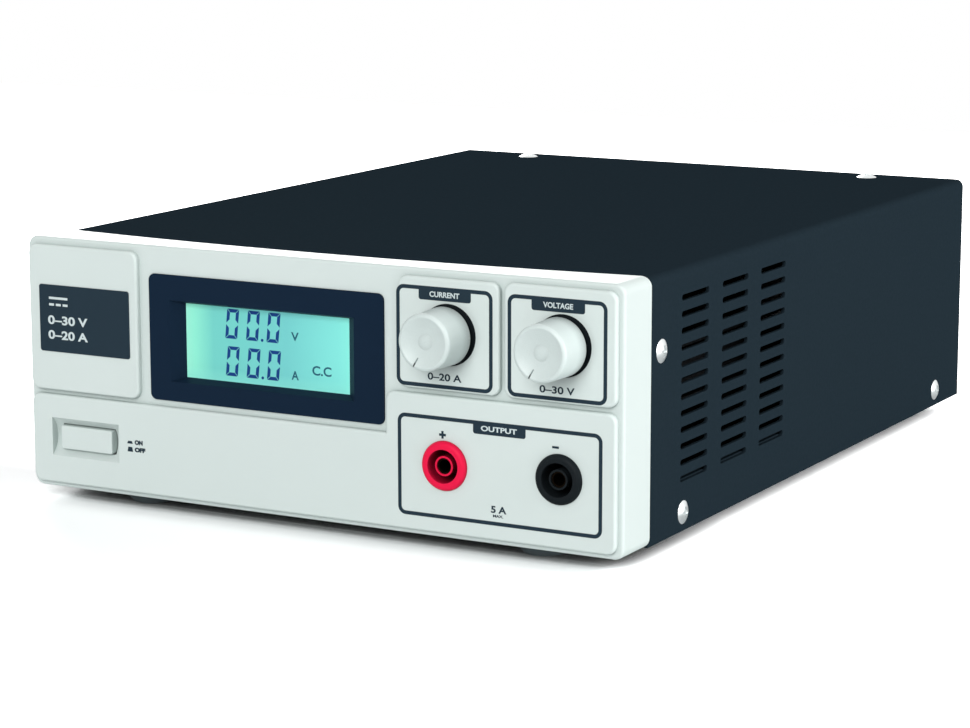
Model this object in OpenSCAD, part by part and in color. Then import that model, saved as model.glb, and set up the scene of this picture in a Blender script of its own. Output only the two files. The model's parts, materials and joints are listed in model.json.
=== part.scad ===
// Bench power supply: a steel cover and tray, a moulded front bezel with a display,
// two setting knobs, two 4 mm safety sockets and a push switch, and at the back a fan,
// a fused mains inlet and two binding posts. The electronics stand on one board inside.
// X is the width with 0 at the middle, Y runs from the front to the back, and the feet
// stand on Z = 0. Sizes are in millimetres.

/* [Case] */
// Width over the steel cover
case_w = 221; // [200:1:260]
// Height of the cover's side
case_h = 84.4; // [82:0.2:110]
// Depth from the front pads to the back edge of the cover
case_d = 300; // [280:1:380]
// Thickness of the steel sheet
sheet = 1.2; // [0.8:0.1:1.6]
// Outside radius of the cover's two long bends
bend_r = 2.8; // [2.4:0.2:6]
// Play between the cover and what it slides over
cover_play = 0.2; // [0.1:0.05:0.4]
// How far the back panel sits inside the cover's back edge
back_recess = 1.5; // [0.5:0.1:4]
// Height of the upturned sides of the tray
flange_h = 16; // [12:0.5:24]

/* [Feet] */
// Height from the bench to the cover's lower edge
foot_h = 5; // [4:0.5:12]
// Diameter of a rubber foot
foot_d = 16; // [12:0.5:20]
// Distance from the side of the case to a foot's centre
foot_side = 35.5; // [20:0.5:60]
// Distance from the case's front and back ends to the feet
foot_end = 20; // [19:0.5:60]

/* [Side vents] */
// Slots in each column
vent_rows = 12; // [4:1:12]
// Columns of slots on each side
vent_cols = 3; // [1:1:4]
// Height of one slot
vent_slot_h = 2; // [1:0.1:3]
// Length of one slot with its round ends
vent_slot_l = 20.4; // [10:0.2:26]
// Step from one slot to the next slot below
vent_step = 5.28; // [4.5:0.02:5.4]
// Step from one column to the next
vent_col_step = 30.8; // [28:0.1:40]
// Height of the lowest slot above the cover's lower edge
vent_low = 17; // [14:0.5:20]
// Distance from the front to the first column
vent_front = 43.8; // [40:0.5:70]

/* [Bezel] */
// Thickness of the bezel's lip over the cover
lip_wall = 0.6; // [0.5:0.1:1]
// Thickness of the bezel's face
face_wall = 2.2; // [2:0.1:3]
// Thickness of the bezel's side walls in front of the cover
side_wall = 2.6; // [2:0.1:3]
// Radius of the four corners seen from the front
corner_r = 3.4; // [3.2:0.2:4.4]
// Radius of the edge round the front face
edge_r = 1; // [0.6:0.1:1.8]
// Depth of the bezel at its sides
bezel_side_d = 20.2; // [18:0.2:22]
// Depth of the bezel at the middle of its curved top edge
bezel_mid_d = 13; // [12:0.2:16]
// How far the pads stand forward of the face
pad_h = 2; // [1.2:0.1:2.4]
// Corner radius of a pad
pad_r = 3.2; // [2:0.2:4]
// Radius of a pad's front edge
pad_edge = 0.9; // [0.3:0.1:1.2]

/* [Display] */
// Width of the dark display frame
frame_w = 89.4; // [80:0.2:90]
// Height of the dark display frame
frame_h = 41.8; // [36:0.2:44]
// Distance from the case's right side to the display frame's centre
frame_in = 127.9; // [127:0.1:129]
// Height of the display frame's centre above the cover's lower edge
frame_z = 55; // [53:0.1:57]
// Corner radius of the display frame
frame_r = 2.2; // [0.6:0.1:4]
// Width of the visible glass
glass_w = 62.5; // [50:0.5:66]
// Height of the visible glass
glass_h = 24.6; // [20:0.2:28]
// Depth of the glass behind the pads
glass_y = 5.4; // [4.5:0.1:5.6]

/* [Knobs] */
// Diameter of a knob
knob_d = 18.6; // [16:0.2:19]
// How far the knobs stand out from the pads
knob_out = 15.6; // [13:0.1:20]
// Gap between the back of a knob and the pads
knob_gap = 2.6; // [2.2:0.1:3.2]
// Diameter of the dark ring round the knob's foot
collar_d = 19.6; // [18:0.1:21]
// Diameter of the potentiometer's shaft
shaft_d = 6; // [4:0.1:6.4]
// Play between a turning shaft and its bush, on the radius
run_play = 0.05; // [0.02:0.01:0.09]
// Height of the two knobs above the cover's lower edge
knob_z = 65.2; // [62:0.1:67]
// Distance from the case's right side to the voltage knob
knob_in = 19.2; // [18:0.1:20.5]
// Distance from the current knob to the voltage knob
knob_step = 39.9; // [38:0.1:41]

/* [Sockets and switch] */
// Diameter of a safety socket's flange
socket_d = 16; // [14:0.2:18]
// Bore of the 4 mm contacts
contact_d = 4; // [3.9:0.05:4.2]
// Distance from the case's right side to the black socket
socket_in = 20.3; // [17:0.1:24]
// Distance from the red socket to the black socket
socket_step = 40.1; // [36:0.1:44]
// Height of the sockets above the cover's lower edge
socket_z = 23.7; // [20:0.1:27]
// Width of the power button's face
button_w = 20.8; // [16:0.2:22]
// Height of the power button's face
button_h = 8; // [7:0.2:9]
// Distance from the case's left side to the power button's centre
button_in = 22.6; // [20:0.1:26]
// Height of the power button above the cover's lower edge
button_z = 17.8; // [16:0.1:22]
// How far the power button travels
button_travel = 3.5; // [2:0.1:4]
// Depth of the scooped recess round the button
scoop_deep = 3.2; // [2.4:0.1:3.4]

/* [Back] */
// Width and height of the square fan
fan_w = 60; // [50:1:70]
// Thickness of the fan
fan_t = 20; // [15:1:25]
// Number of fan blades
fan_blades = 7; // [5:1:9]
// Sideways place of the fan
fan_x = -18; // [-20:1:-14]
// Height of the fan's centre above the cover's lower edge
fan_z = 43; // [38:1:46]
// Diameter of a binding post's cap
post_d = 18; // [15:0.5:22]
// Distance between the two binding posts
post_gap = 35; // [26:0.5:38]
// Distance from the case's left side to the middle of the inlet
inlet_in = 30.5; // [28:0.5:36]
// Height of the inlet above the cover's lower edge
inlet_z = 48; // [46:0.5:52]
// How far the binding posts' caps stand out behind the cover
post_out = 22.4; // [20:0.2:26]
// Diameter of a binding post's threaded stud
stud_d = 8; // [6:0.5:9]

/* [Inside] */
// Height of the board above the tray
board_lift = 6; // [4:0.5:9]
// Thickness of a circuit board
board_t = 1.6; // [1:0.1:2.4]
// Number of fins on the output heatsink
fin_count = 9; // [5:1:10]
// Turns on each output choke
choke_turns = 16; // [8:1:20]
// Turns of the power button's return spring
spring_turns = 5; // [3:1:7]

/* [Hidden] */

// Fine and coarse roundness of the curved faces
fine = 64;
coarse = 32;

// Planes of the case: front pads, back edge of the cover, lower edge of the cover
front_y = (knob_out - case_d - post_out) / 2;
back_y = front_y + case_d;
low_z = foot_h;
top_z = low_z + case_h;
half_w = case_w / 2;

// Sideways places of what is fitted to the front and the back
frame_x = half_w - frame_in;
knob_x = [half_w - knob_in - knob_step, half_w - knob_in];
socket_x = [half_w - socket_in - socket_step, half_w - socket_in];
button_x = button_in - half_w;
inlet_x = inlet_in - half_w;

// Cover, tray and the two upright plates
cover_start = front_y + 9;
inner_x = half_w - sheet - cover_play;
tray_z = low_z + 0.4;
floor_z = tray_z + sheet;
tray_front = front_y + 13.4;
panel_y = back_y - back_recess - sheet;
plate_y0 = front_y + 24;
roof_z = top_z - sheet - cover_play;

// Screws: shank radius, head radius and head height
screw_r = 1.9;
screw_play = 0.06;
head_r = 3.8;
head_h = 1.2;
side_screw_z = 6;
upper_screw_z = 60.6;
upper_screw_y = front_y + 29.4;
side_screw_y = [front_y + 46.3, back_y - 25.5];
top_screw_x = half_w - 35.9;
top_screw_y = back_y - 10;
flange_w = 15;

// Bezel
bezel_x = half_w + cover_play + lip_wall;
bezel_top = top_z + cover_play + lip_wall;
face_y = front_y + pad_h;
face_back = face_y + face_wall;
bezel_back = front_y + bezel_side_d;
slot_z = low_z + corner_r;
brow_drop = bezel_side_d - bezel_mid_d;
brow_end = bezel_x - lip_wall / 2;
brow_r = (brow_end * brow_end + brow_drop * brow_drop) / (2 * brow_drop);
bezel_boss_r = 4;
boss_x = half_w - 9;
bezel_boss = [[-boss_x, case_h - 8.4], [boss_x, 38], [-boss_x, 38],
    [half_w - 80, 10], [boss_x, case_h - 6]];
pilot_r = 1.2;

// Pads on the face, each [left, low, right, high] from the middle and the cover's edge
pad_side = half_w - 0.5;
pad_right = half_w - 1.1;
pad_low_z = 1.8;
pad_logo = [-pad_side, 33.6, frame_x - frame_w / 2 - 3.9, 82.8];
pad_step = half_w - 81.9;
pad_low = [-pad_side, pad_low_z, pad_step + 2 * pad_r, 32.2];
pad_aux = [pad_step, pad_low_z, pad_right, 45.8];
pad_current = [knob_x[0] - 18, 47.4, knob_x[0] + 18, 82.8];
pad_voltage = [knob_x[0] + 19.6, 47.4, pad_right, 83.2];

// Display: the frame's window slopes in to the glass
frame_face = face_y - 0.5;
frame_play = 0.1;
frame_flange = 2.4;
glass_x = frame_x - 1.5;
glass_z = frame_z - 0.9;
glass_t = 2.4;
light_t = 3.6;
window_slope = [4, 1.2];
board_y = front_y + glass_y + glass_t + light_t;

// Knobs, collars and potentiometers
web_y = front_y + 1.8;
web_back = web_y + 2.4;
collar_t = 1.4;
bush_r = shaft_d / 2 + 1;
nut_h = 1.8;
knob_r = knob_d / 2;
knob_back = front_y - knob_gap;
knob_front = front_y - knob_out;
shaft_end = knob_front + 4;
knob_rim = 1.2;
knob_dish = 1.6;
pip_r = 3;
pip_h = 0.5;
pot_r = 8;
pointer_turn = 24;

// Sockets and switch
socket_front = front_y - 1.6;
socket_body_r = 6.4;
socket_hole = socket_body_r + 0.1;
shroud_r = 5.4;
sleeve_r = 3.2;
socket_len = 26;
contact_len = 24;
socket_lip = 1.6;
scoop_l = 27.4;
scoop_x = button_x - 0.3;
scoop_h = 13;
scoop_r = (scoop_h * scoop_h / 4 + scoop_deep * scoop_deep) / (2 * scoop_deep);
button_play = 0.35;
button_back = front_y + 9;
plunger_r = 2;
plunger_in = 10;
switch_y = plate_y0 - 6;
spring_r = 3;
spring_wire = 0.35;

// Back of the case
fan_y = panel_y - fan_t;
fan_bore_r = fan_w / 2 - 2;
fan_hub_r = fan_w * 0.2;
blade_gap = 0.8;
fan_hole = fan_w / 2 - 5;
post_x = [half_w - 30.5 - post_gap, half_w - 30.5];
post_z = 32;
post_base_h = 4;
wall_out = panel_y + sheet;
clamp_h = 2;
cap_start = wall_out + post_base_h + clamp_h;
cap_end = back_y + post_out;
inlet_w = 27.5;
inlet_h = 47;
cavity_w = 24.4;
cavity_h = 16.6;
cavity_deep = 17;
drawer_w = 22;
drawer_h = 9;
drawer_deep = 24;

// Circuit boards and what stands on them
board_z = floor_z + board_lift;
deck_z = board_z + board_t;
board_front = front_y + 46;
board_back = fan_y - 6;
board_x = inner_x - 9;

// Heatsinks: they stand along the board's two sides
sink_y = front_y + 70;
fin_t = 2;
in_sink_x = 5.6 - board_x;
in_sink_wall = 4;
in_sink_reach = 14;
in_sink_h = 40;
in_sink_len = 70;
out_sink_x = board_x - 33.6;
out_sink_wall = 5;
out_sink_reach = 24;
out_sink_h = 52;
out_sink_len = 120;
bridge_t = 4.8;
bridge_len = 30;
bridge_h = 22;

// Capacitors: radius, height, place and step of each row
in_can_r = 15;
in_can_h = 45;
in_can_x = in_sink_x + 34;
in_can_y = back_y - 150;
in_can_step = 34;
out_can_r = 8;
out_can_h = 30;
out_can_x = out_sink_x - 26;
out_can_y = front_y + 72;
out_can_step = 20;

// Mains filter: two boxes with a choke between them
film_x = in_sink_x + 2;
film_y = back_y - 62;
film_len = 26;
film_t = 12;
film_h = 20;
film_step = 34;
line_choke_t = 14;
line_choke_h = 26;

// Transformer: outer legs and yokes are as thick as each other
core_at = [-22, front_y + 120, deck_z + 3];
core_w = 44;
core_t = 20;
core_h = 42;
core_leg = 14;
core_yoke = 7;
coil_gap = 0.5;
coil_play = 0.2;
coil_t = 34;
bobbin_t = 1.5;

// Output chokes
choke_places = [[-10, front_y + 186], [-10, front_y + 225]];
choke_ring = 12;
choke_core = 5;
choke_wire = 0.6;

module along_y(y, x = 0, z = 0) {
    translate([x, y, z]) rotate([-90, 0, 0]) children();
}

module upright(y, t) {
    translate([0, y + t, 0]) rotate([90, 0, 0]) linear_extrude(t) children();
}

module sideways(x, t) {
    translate([x, 0, 0]) rotate([90, 0, 90]) linear_extrude(t) children();
}

module rod_y(r, y0, y1, x = 0, z = 0, fn = fine) {
    along_y(y0, x, z) cylinder(h = y1 - y0, r = r, $fn = fn);
}

module tube_y(r, bore, y0, y1, x = 0, z = 0) {
    difference() {
        rod_y(r, y0, y1, x, z);
        rod_y(bore, y0 - 1, y1 + 1, x, z);
    }
}

module block(x0, y0, z0, x1, y1, z1) {
    translate([x0, y0, z0]) cube([x1 - x0, y1 - y0, z1 - z0]);
}

module round_rect(x0, z0, x1, z1, r) {
    translate([x0 + r, z0]) square([x1 - x0 - 2 * r, z1 - z0]);
    translate([x0, z0 + r]) square([x1 - x0, z1 - z0 - 2 * r]);
    for (x = [x0 + r, x1 - r], z = [z0 + r, z1 - r]) {
        translate([x, z]) circle(r, $fn = coarse);
    }
}

// Quarter of a disc, with its square corner at the origin
module quarter(r) {
    intersection() {
        circle(r, $fn = coarse);
        square(r);
    }
}

// Section of a soft edge: a square strip whose outer front corner is rounded
module edge_section(w, e) {
    square([w - e, e]);
    translate([w - e, 0]) quarter(e);
}

// Plate with round corners and a soft front edge: front at y0, back at y1
module soft_plate(x0, z0, x1, z1, y0, y1, r, e) {
    upright(y0 + e, y1 - y0 - e) round_rect(x0, z0, x1, z1, r);
    block(x0 + r, y0, z0 + r, x1 - r, y0 + e, z1 - r);
    for (x = [x0 + r, x1 - r], z = [z0 + r, z1 - r]) {
        translate([x, y0 + e, z]) rotate([90, 0, 0])
            rotate_extrude($fn = coarse) edge_section(r, e);
    }
    for (edge = [[x1 - r, z1 - r, 0], [x0 + r, z0 + r, 180],
            [x1 - r, z0 + r, 90], [x0 + r, z1 - r, -90]]) {
        length = edge[2] % 180 == 0 ? z1 - z0 - 2 * r : x1 - x0 - 2 * r;
        translate([edge[0], y0 + e, edge[1]]) rotate([0, edge[2], 0]) rotate([180, 0, 0])
            linear_extrude(length) edge_section(r, e);
    }
}

// Lead that runs level from its start and then bends down; back = 1 runs it forward
module lead(start, run, drop, r, back = 0) {
    bend_at = 4 * r;
    translate(start) mirror([0, back, 0]) {
        rod_y(r, 0, run - bend_at, fn = 24);
        translate([0, run - bend_at, -bend_at]) rotate([0, -90, 0])
            rotate_extrude(angle = 90, $fn = 48) translate([bend_at, 0])
            circle(r, $fn = 24);
        translate([0, run, -drop]) cylinder(h = drop - bend_at, r = r, $fn = 24);
    }
}

// Domed cross-head screw standing on the XY plane, with its shank going down
module dome_screw(length, r = screw_r, head = head_r, rise = head_h) {
    ball = (head * head + rise * rise) / (2 * rise);
    slot = head * 0.28;
    translate([0, 0, -length]) cylinder(h = length + 0.1, r = r, $fn = 24);
    difference() {
        intersection() {
            translate([0, 0, rise - ball]) sphere(ball, $fn = fine);
            cylinder(h = rise + 1, r = head, $fn = fine);
        }
        for (turn = [0, 90]) rotate(turn) translate([-head / 2, -slot / 2, rise * 0.45])
            cube([head, slot, rise]);
    }
}

// One side of the cover with its vents, drawn in Y and Z. Its lower front corner is cut
// away where it slides into the bezel.
module side_sheet() {
    difference() {
        translate([cover_start, low_z])
            square([back_y - cover_start, case_h - bend_r]);
        translate([cover_start - 1, low_z - 1])
            square([bezel_back + cover_play + 1 - cover_start, slot_z + cover_play + 1 - low_z]);
        for (col = [0 : vent_cols - 1], row = [0 : vent_rows - 1]) {
            translate([front_y + vent_front + col * vent_col_step,
                low_z + vent_low + row * vent_step]) vent_slot();
        }
    }
}

module vent_slot() {
    r = vent_slot_h / 2;
    translate([r, -r]) square([vent_slot_l - 2 * r, vent_slot_h]);
    for (x = [r, vent_slot_l - r]) translate([x, 0]) circle(r, $fn = 24);
}

module bend(side) {
    intersection() {
        difference() {
            circle(bend_r, $fn = fine);
            circle(bend_r - sheet, $fn = fine);
        }
        translate([side > 0 ? 0 : -bend_r, 0]) square(bend_r);
    }
}

module top_cover() {
    color("#202c30") difference() {
        union() {
            for (side = [-1, 1]) {
                sideways(side > 0 ? half_w - sheet : -half_w, sheet) side_sheet();
                upright(cover_start, back_y - cover_start)
                    translate([side * (half_w - bend_r), top_z - bend_r]) bend(side);
            }
            block(bend_r - half_w, cover_start, top_z - sheet,
                half_w - bend_r, back_y, top_z);
        }
        screw_holes(screw_r + 0.3, 3 * sheet);
    }
}

// Holes for the screws that hold the cover, as deep as asked from the outside
module screw_holes(r, deep) {
    for (side = [-1, 1]) {
        for (y = side_screw_y) side_hole(side, y, side_screw_z, r, deep);
        side_hole(side, upper_screw_y, upper_screw_z, r, deep);
        translate([side * top_screw_x, top_screw_y, top_z - deep])
            cylinder(h = deep + 1, r = r, $fn = 24);
    }
}

module side_hole(side, y, z, r, deep) {
    translate([side * (half_w + 1), y, low_z + z]) rotate([0, -90 * side, 0])
        cylinder(h = deep + 1, r = r, $fn = 24);
}

module base_tray() {
    color("#b9bec2") difference() {
        union() {
            block(-inner_x, tray_front, tray_z, inner_x, panel_y, floor_z);
            for (x = [-inner_x, inner_x - sheet]) {
                block(x, plate_y0 + 14, tray_z, x + sheet, panel_y, tray_z + flange_h);
            }
        }
        screw_holes(screw_r + screw_play, 4 * sheet);
        foot_places() translate([0, 0, tray_z - 1]) cylinder(h = 4, r = 2.1, $fn = 24);
        for (row = [0 : 3], col = [-3 : 3]) {
            translate([col * 18, back_y - 120 + row * 12, tray_z - 1])
                cylinder(h = 4, r = 2.5, $fn = 16);
        }
    }
}

module foot_places() {
    for (side = [-1, 1], y = [front_y + foot_end, back_y - foot_end]) {
        translate([side * (half_w - foot_side), y, 0]) children();
    }
}

module front_plate() {
    high = roof_z - 2;
    color("#b9bec2") difference() {
        union() {
            upright(plate_y0, sheet) difference() {
                translate([-inner_x, floor_z]) square([2 * inner_x, high - floor_z]);
                switch_window(0.2);
                for (x = socket_x) translate([x, low_z + socket_z]) circle(9, $fn = coarse);
                translate([frame_x, low_z + 50]) circle(8, $fn = coarse);
                for (p = bezel_boss) translate([p[0], low_z + p[1]])
                    circle(1.6, $fn = 24);
            }
            for (x = [-inner_x, inner_x - sheet]) {
                block(x, plate_y0, low_z + 40, x + sheet, plate_y0 + 14, high);
            }
            block(half_w - 170, plate_y0, floor_z,
                half_w - 70, plate_y0 + 10, floor_z + sheet);
        }
        screw_holes(screw_r + screw_play, 4 * sheet);
    }
}

module switch_window(play) {
    translate([button_x - 7 - play, low_z + button_z - 7 - play])
        square(14 + 2 * play);
}

module rear_panel() {
    color("#202c30") difference() {
        union() {
            upright(panel_y, sheet) difference() {
                union() {
                    translate([-inner_x, tray_z]) square([2 * inner_x, case_h / 2]);
                    round_rect(-inner_x, tray_z, inner_x, roof_z, bend_r - sheet);
                }
                translate([fan_x, low_z + fan_z]) circle(fan_hole, $fn = fine);
                fan_corners() circle(2.1, $fn = 24);
                translate([inlet_x, low_z + inlet_z])
                    square([inlet_w + 0.2, inlet_h + 0.2], center = true);
                for (x = post_x) translate([x, low_z + post_z]) circle(5.2, $fn = coarse);
                panel_slots();
            }
            block(-inner_x + 4, panel_y - flange_w + sheet, roof_z - sheet,
                inner_x - 4, panel_y + sheet, roof_z);
            block(fan_x - 32, panel_y - 10, floor_z, fan_x + 38, panel_y, floor_z + sheet);
        }
        screw_holes(screw_r + screw_play, 4 * sheet);
    }
}

module fan_corners() {
    step = fan_w * 5 / 12;
    for (dx = [-step, step], dz = [-step, step]) {
        translate([fan_x + dx, low_z + fan_z + dz]) children();
    }
}

// Short air slots between the fan and the binding posts, high on the panel
module panel_slots() {
    for (i = [0 : 7]) {
        translate([post_x[0] - 8 + i * 8, low_z + 56]) {
            square([3, 16]);
            for (z = [0, 16]) translate([1.5, z]) circle(1.5, $fn = 24);
        }
    }
}

// Pads that stand forward of the bezel's face
module pads() {
    for (p = [pad_logo, pad_low, pad_aux, pad_current, pad_voltage]) {
        soft_plate(p[0], low_z + p[1], p[2], low_z + p[3],
            front_y, face_y + 0.5, pad_r, pad_edge);
    }
}

// Space behind the bezel's face, wider where the cover slides in, with shallow room for
// the front feet in its lower lip
module bezel_hollow() {
    upright(face_back, bezel_side_d) round_rect(side_wall - bezel_x,
        tray_z + 2.2, bezel_x - side_wall, bezel_top - side_wall, corner_r - side_wall);
    upright(cover_start - 0.3, bezel_side_d) {
        round_rect(-half_w - cover_play, tray_z + 2.2, half_w + cover_play,
            top_z + cover_play, bend_r);
        for (side = [-1, 1]) translate([side * (half_w - sheet / 2), slot_z + 10])
            square([sheet + 2 * cover_play, 20], center = true);
    }
    block(-inner_x - cover_play, tray_front - 0.4, low_z - 1,
        inner_x + cover_play, front_y + 40, tray_z + 10);
    foot_places() cylinder(h = tray_z + 0.1, r = foot_d / 2 + 0.3, $fn = fine);
}

// Outline of the display frame, larger all round by more
module frame_outline(more, r) {
    w = frame_w / 2 + more;
    h = frame_h / 2 + more;
    z = low_z + frame_z;
    round_rect(frame_x - w, z - h, frame_x + w, z + h, r);
}

// Cut that gives the top edge of the bezel its slow curve
module brow_cut() {
    translate([0, front_y + bezel_mid_d + brow_r, low_z - 5])
        cylinder(h = case_h + 20, r = brow_r, $fn = 360);
}

module bezel_holes() {
    upright(front_y - 1, 12) frame_outline(frame_play, frame_r + frame_play);
    for (x = knob_x) {
        rod_y(collar_d / 2, front_y - 2, web_y, x, low_z + knob_z);
        rod_y(bush_r + 0.1, front_y - 2, front_y + 12, x, low_z + knob_z);
    }
    for (x = socket_x) rod_y(socket_hole, front_y - 2, front_y + 12, x, low_z + socket_z);
    translate([scoop_x - scoop_l / 2, front_y + scoop_deep - scoop_r, low_z + button_z])
        rotate([0, 90, 0]) cylinder(h = scoop_l, r = scoop_r, $fn = fine);
    upright(front_y - 1, 12) translate([button_x, low_z + button_z])
        square([button_w + 2 * button_play, button_h + 2 * button_play], center = true);
}

// Thicker places behind the face that carry the collars and the scooped recess
module bezel_backing() {
    for (x = knob_x) rod_y(collar_d / 2 + 2, face_y + 1, web_back, x, low_z + knob_z);
    block(scoop_x - scoop_l / 2 - 2, face_y + 1, low_z + button_z - scoop_h / 2 - 2,
        scoop_x + scoop_l / 2 + 2, front_y + scoop_deep + 2.4,
        low_z + button_z + scoop_h / 2 + 2);
}

module front_bezel() {
    color("#d9e3e0") difference() {
        union() {
            difference() {
                soft_plate(-bezel_x, low_z, bezel_x, bezel_top, face_y,
                    front_y + bezel_side_d, corner_r, edge_r);
                bezel_hollow();
                brow_cut();
            }
            pads();
            bezel_backing();
            for (p = bezel_boss) rod_y(bezel_boss_r, face_back - 0.5, plate_y0,
                p[0], low_z + p[1], coarse);
        }
        bezel_holes();
        for (p = bezel_boss) rod_y(pilot_r, face_back + 4, plate_y0 + 1,
            p[0], low_z + p[1], 24);
    }
}

module display_frame() {
    back = front_y + glass_y;
    color("#162636") difference() {
        union() {
            upright(frame_face, back - frame_face) frame_outline(0, frame_r);
            upright(face_back, back - face_back) frame_outline(frame_flange, frame_r);
        }
        window_funnel(frame_face, back);
    }
}

// Sloping window of the display frame, as a four-sided funnel
module window_funnel(y0, y1) {
    gw = glass_w / 2;
    gh = glass_h / 2;
    run = y1 - y0 + 0.5;
    s = window_slope * run / (y1 - y0);
    translate([glass_x, y1 + 0.01, low_z + glass_z]) intersection() {
        sideways(-gw - s[0] - 1, 2 * gw + 2 * s[0] + 2)
            polygon([[0, -gh], [0, gh], [-run, gh + s[1]], [-run, -gh - s[1]]]);
        translate([0, 0, -gh - s[1] - 1]) linear_extrude(2 * gh + 2 * s[1] + 2)
            polygon([[-gw, 0], [gw, 0], [gw + s[0], -run], [-gw - s[0], -run]]);
    }
}

module glass_block(y0, y1, margin) {
    block(glass_x - glass_w / 2 - margin, y0, low_z + glass_z - glass_h / 2 - margin,
        glass_x + glass_w / 2 + margin, y1, low_z + glass_z + glass_h / 2 + margin);
}

module display_glass() {
    color("#7fe0da") glass_block(front_y + glass_y, front_y + glass_y + glass_t, 2.5);
}

module backlight() {
    color("#e8f4f0") glass_block(front_y + glass_y + glass_t, board_y, 4);
}

module control_board() {
    color("#1f6b45") {
        difference() {
            block(frame_x - frame_w / 2, board_y, low_z + 35,
                half_w - 14, board_y + board_t, low_z + 80);
            for (x = knob_x) rod_y(3, board_y - 1, board_y + 5, x, low_z + knob_z, 24);
        }
        for (x = [frame_x - 22, frame_x + 3, frame_x + 28, knob_x[0] + knob_step / 2]) {
            block(x - 5, board_y + board_t, low_z + 39,
                x + 5, board_y + board_t + 1.6, low_z + 45);
        }
        block(frame_x - 12, board_y + board_t, low_z + 60,
            frame_x + 12, board_y + board_t + 4.8, low_z + 68);
    }
}

module knob_collars() {
    color("#101416") for (x = knob_x) {
        tube_y(collar_d / 2 - 0.1, bush_r + 0.1, web_y - collar_t, web_y,
            x, low_z + knob_z);
    }
}

module pot(x) {
    z = low_z + knob_z;
    color("#8b9094") difference() {
        union() {
            rod_y(pot_r, web_back, board_y, x, z);
            block(x - 6, board_y - 4, z - pot_r - 4, x + 6, board_y, z);
            rod_y(bush_r, web_y - collar_t - nut_h, web_back + 1, x, z);
        }
        rod_y(shaft_d / 2 + run_play, knob_back - 4, board_y - 2, x, z);
    }
}

module current_pot() {
    pot(knob_x[0]);
}

module voltage_pot() {
    pot(knob_x[1]);
}

module shaft(x) {
    z = low_z + knob_z;
    flat = shaft_d * 0.3;
    color("#c3c7ca") difference() {
        rod_y(shaft_d / 2, shaft_end, board_y - 2.3, x, z);
        block(x - shaft_d, shaft_end - 1, z + flat, x + shaft_d, shaft_end + 7, z + shaft_d);
    }
}

module current_shaft() {
    shaft(knob_x[0]);
}

module voltage_shaft() {
    shaft(knob_x[1]);
}

module pot_nuts() {
    color("#c3c7ca") for (x = knob_x) difference() {
        rod_y(bush_r + 2, web_y - collar_t - nut_h, web_y - collar_t,
            x, low_z + knob_z, 6);
        rod_y(bush_r + 0.05, front_y - 5, front_y + 5, x, low_z + knob_z);
    }
}

// Half section of a knob: a slow taper, a soft rim, and a dish with a low pip in it.
// The first number is the radius and the second the height from the knob's back.
module knob_section(h) {
    front_r = knob_r - 0.3;
    dish_r = front_r - knob_rim;
    dish_ball = (dish_r * dish_r + knob_dish * knob_dish) / (2 * knob_dish);
    pip_ball = (pip_r * pip_r + pip_h * pip_h) / (2 * pip_h);
    difference() {
        union() {
            polygon([[0, 0], [knob_r, 0], [front_r, h - knob_rim], [0, h - knob_rim]]);
            square([dish_r, h]);
            translate([dish_r, h - knob_rim]) quarter(knob_rim);
        }
        difference() {
            translate([0, h - knob_dish + dish_ball]) circle(dish_ball, $fn = 180);
            intersection() {
                translate([0, h - knob_dish + pip_h - pip_ball]) circle(pip_ball, $fn = 180);
                translate([-pip_r, h / 2]) square([2 * pip_r, h / 2]);
            }
        }
        translate([-4 * knob_r, 0]) square([4 * knob_r, 4 * dish_ball]);
    }
}

module knob(x) {
    z = low_z + knob_z;
    h = knob_out - knob_gap;
    color("#dfe6e4") difference() {
        translate([x, knob_back, z]) rotate([90, 0, 0])
            rotate_extrude($fn = 96) knob_section(h);
        rod_y(shaft_d / 2 + 0.02, shaft_end - 0.1, knob_back + 1, x, z);
        rod_y(bush_r + 0.6, front_y - 4.5, knob_back + 1, x, z);
        translate([x, knob_front, z]) rotate([0, pointer_turn, 0])
            block(-0.25, -1, 0.3 - knob_r, 0.25, 0.5, 2.3 - knob_r);
    }
}

module current_knob() {
    knob(knob_x[0]);
}

module voltage_knob() {
    knob(knob_x[1]);
}

// Safety socket: flange, threaded body, deep ring for the plug's shroud, and sleeve
module socket(x) {
    z = low_z + socket_z;
    end = front_y + socket_len;
    difference() {
        union() {
            translate([x, front_y, z]) rotate([90, 0, 0]) rotate_extrude($fn = fine)
                edge_section(socket_d / 2, front_y - socket_front);
            rod_y(socket_body_r, front_y - 0.1, end, x, z);
        }
        difference() {
            rod_y(shroud_r, socket_front - 1, end - 6, x, z);
            rod_y(sleeve_r, socket_front + 1, end, x, z);
        }
        rod_y(contact_d / 2 + 0.6, socket_front - 1, end + 1, x, z);
    }
}

module red_socket() {
    color("#e6143c") socket(socket_x[0]);
}

module black_socket() {
    color("#17191b") socket(socket_x[1]);
}

module socket_contacts() {
    z = low_z + socket_z;
    start = socket_front + socket_lip;
    color("#c9a44c") for (x = socket_x) difference() {
        union() {
            rod_y(contact_d / 2 + 0.58, start, start + contact_len, x, z);
            rod_y(1.5, start + contact_len - 1, front_y + socket_len + 6, x, z);
        }
        rod_y(contact_d / 2, start - 1, start + contact_len - 3, x, z);
    }
}

module socket_nuts() {
    color("#17191b") for (x = socket_x) difference() {
        rod_y(9, face_back, face_back + 4, x, low_z + socket_z, 6);
        rod_y(socket_body_r + 0.05, face_back - 1, face_back + 6, x, low_z + socket_z);
    }
}

module power_button() {
    z = low_z + button_z;
    w = button_w / 2;
    h = button_h / 2;
    color("#d9e3e0") {
        soft_plate(button_x - w, z - h, button_x + w, z + h, front_y, button_back, 0.8, 0.5);
        rod_y(plunger_r, button_back, switch_y + plunger_in, button_x, z);
    }
}

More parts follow.
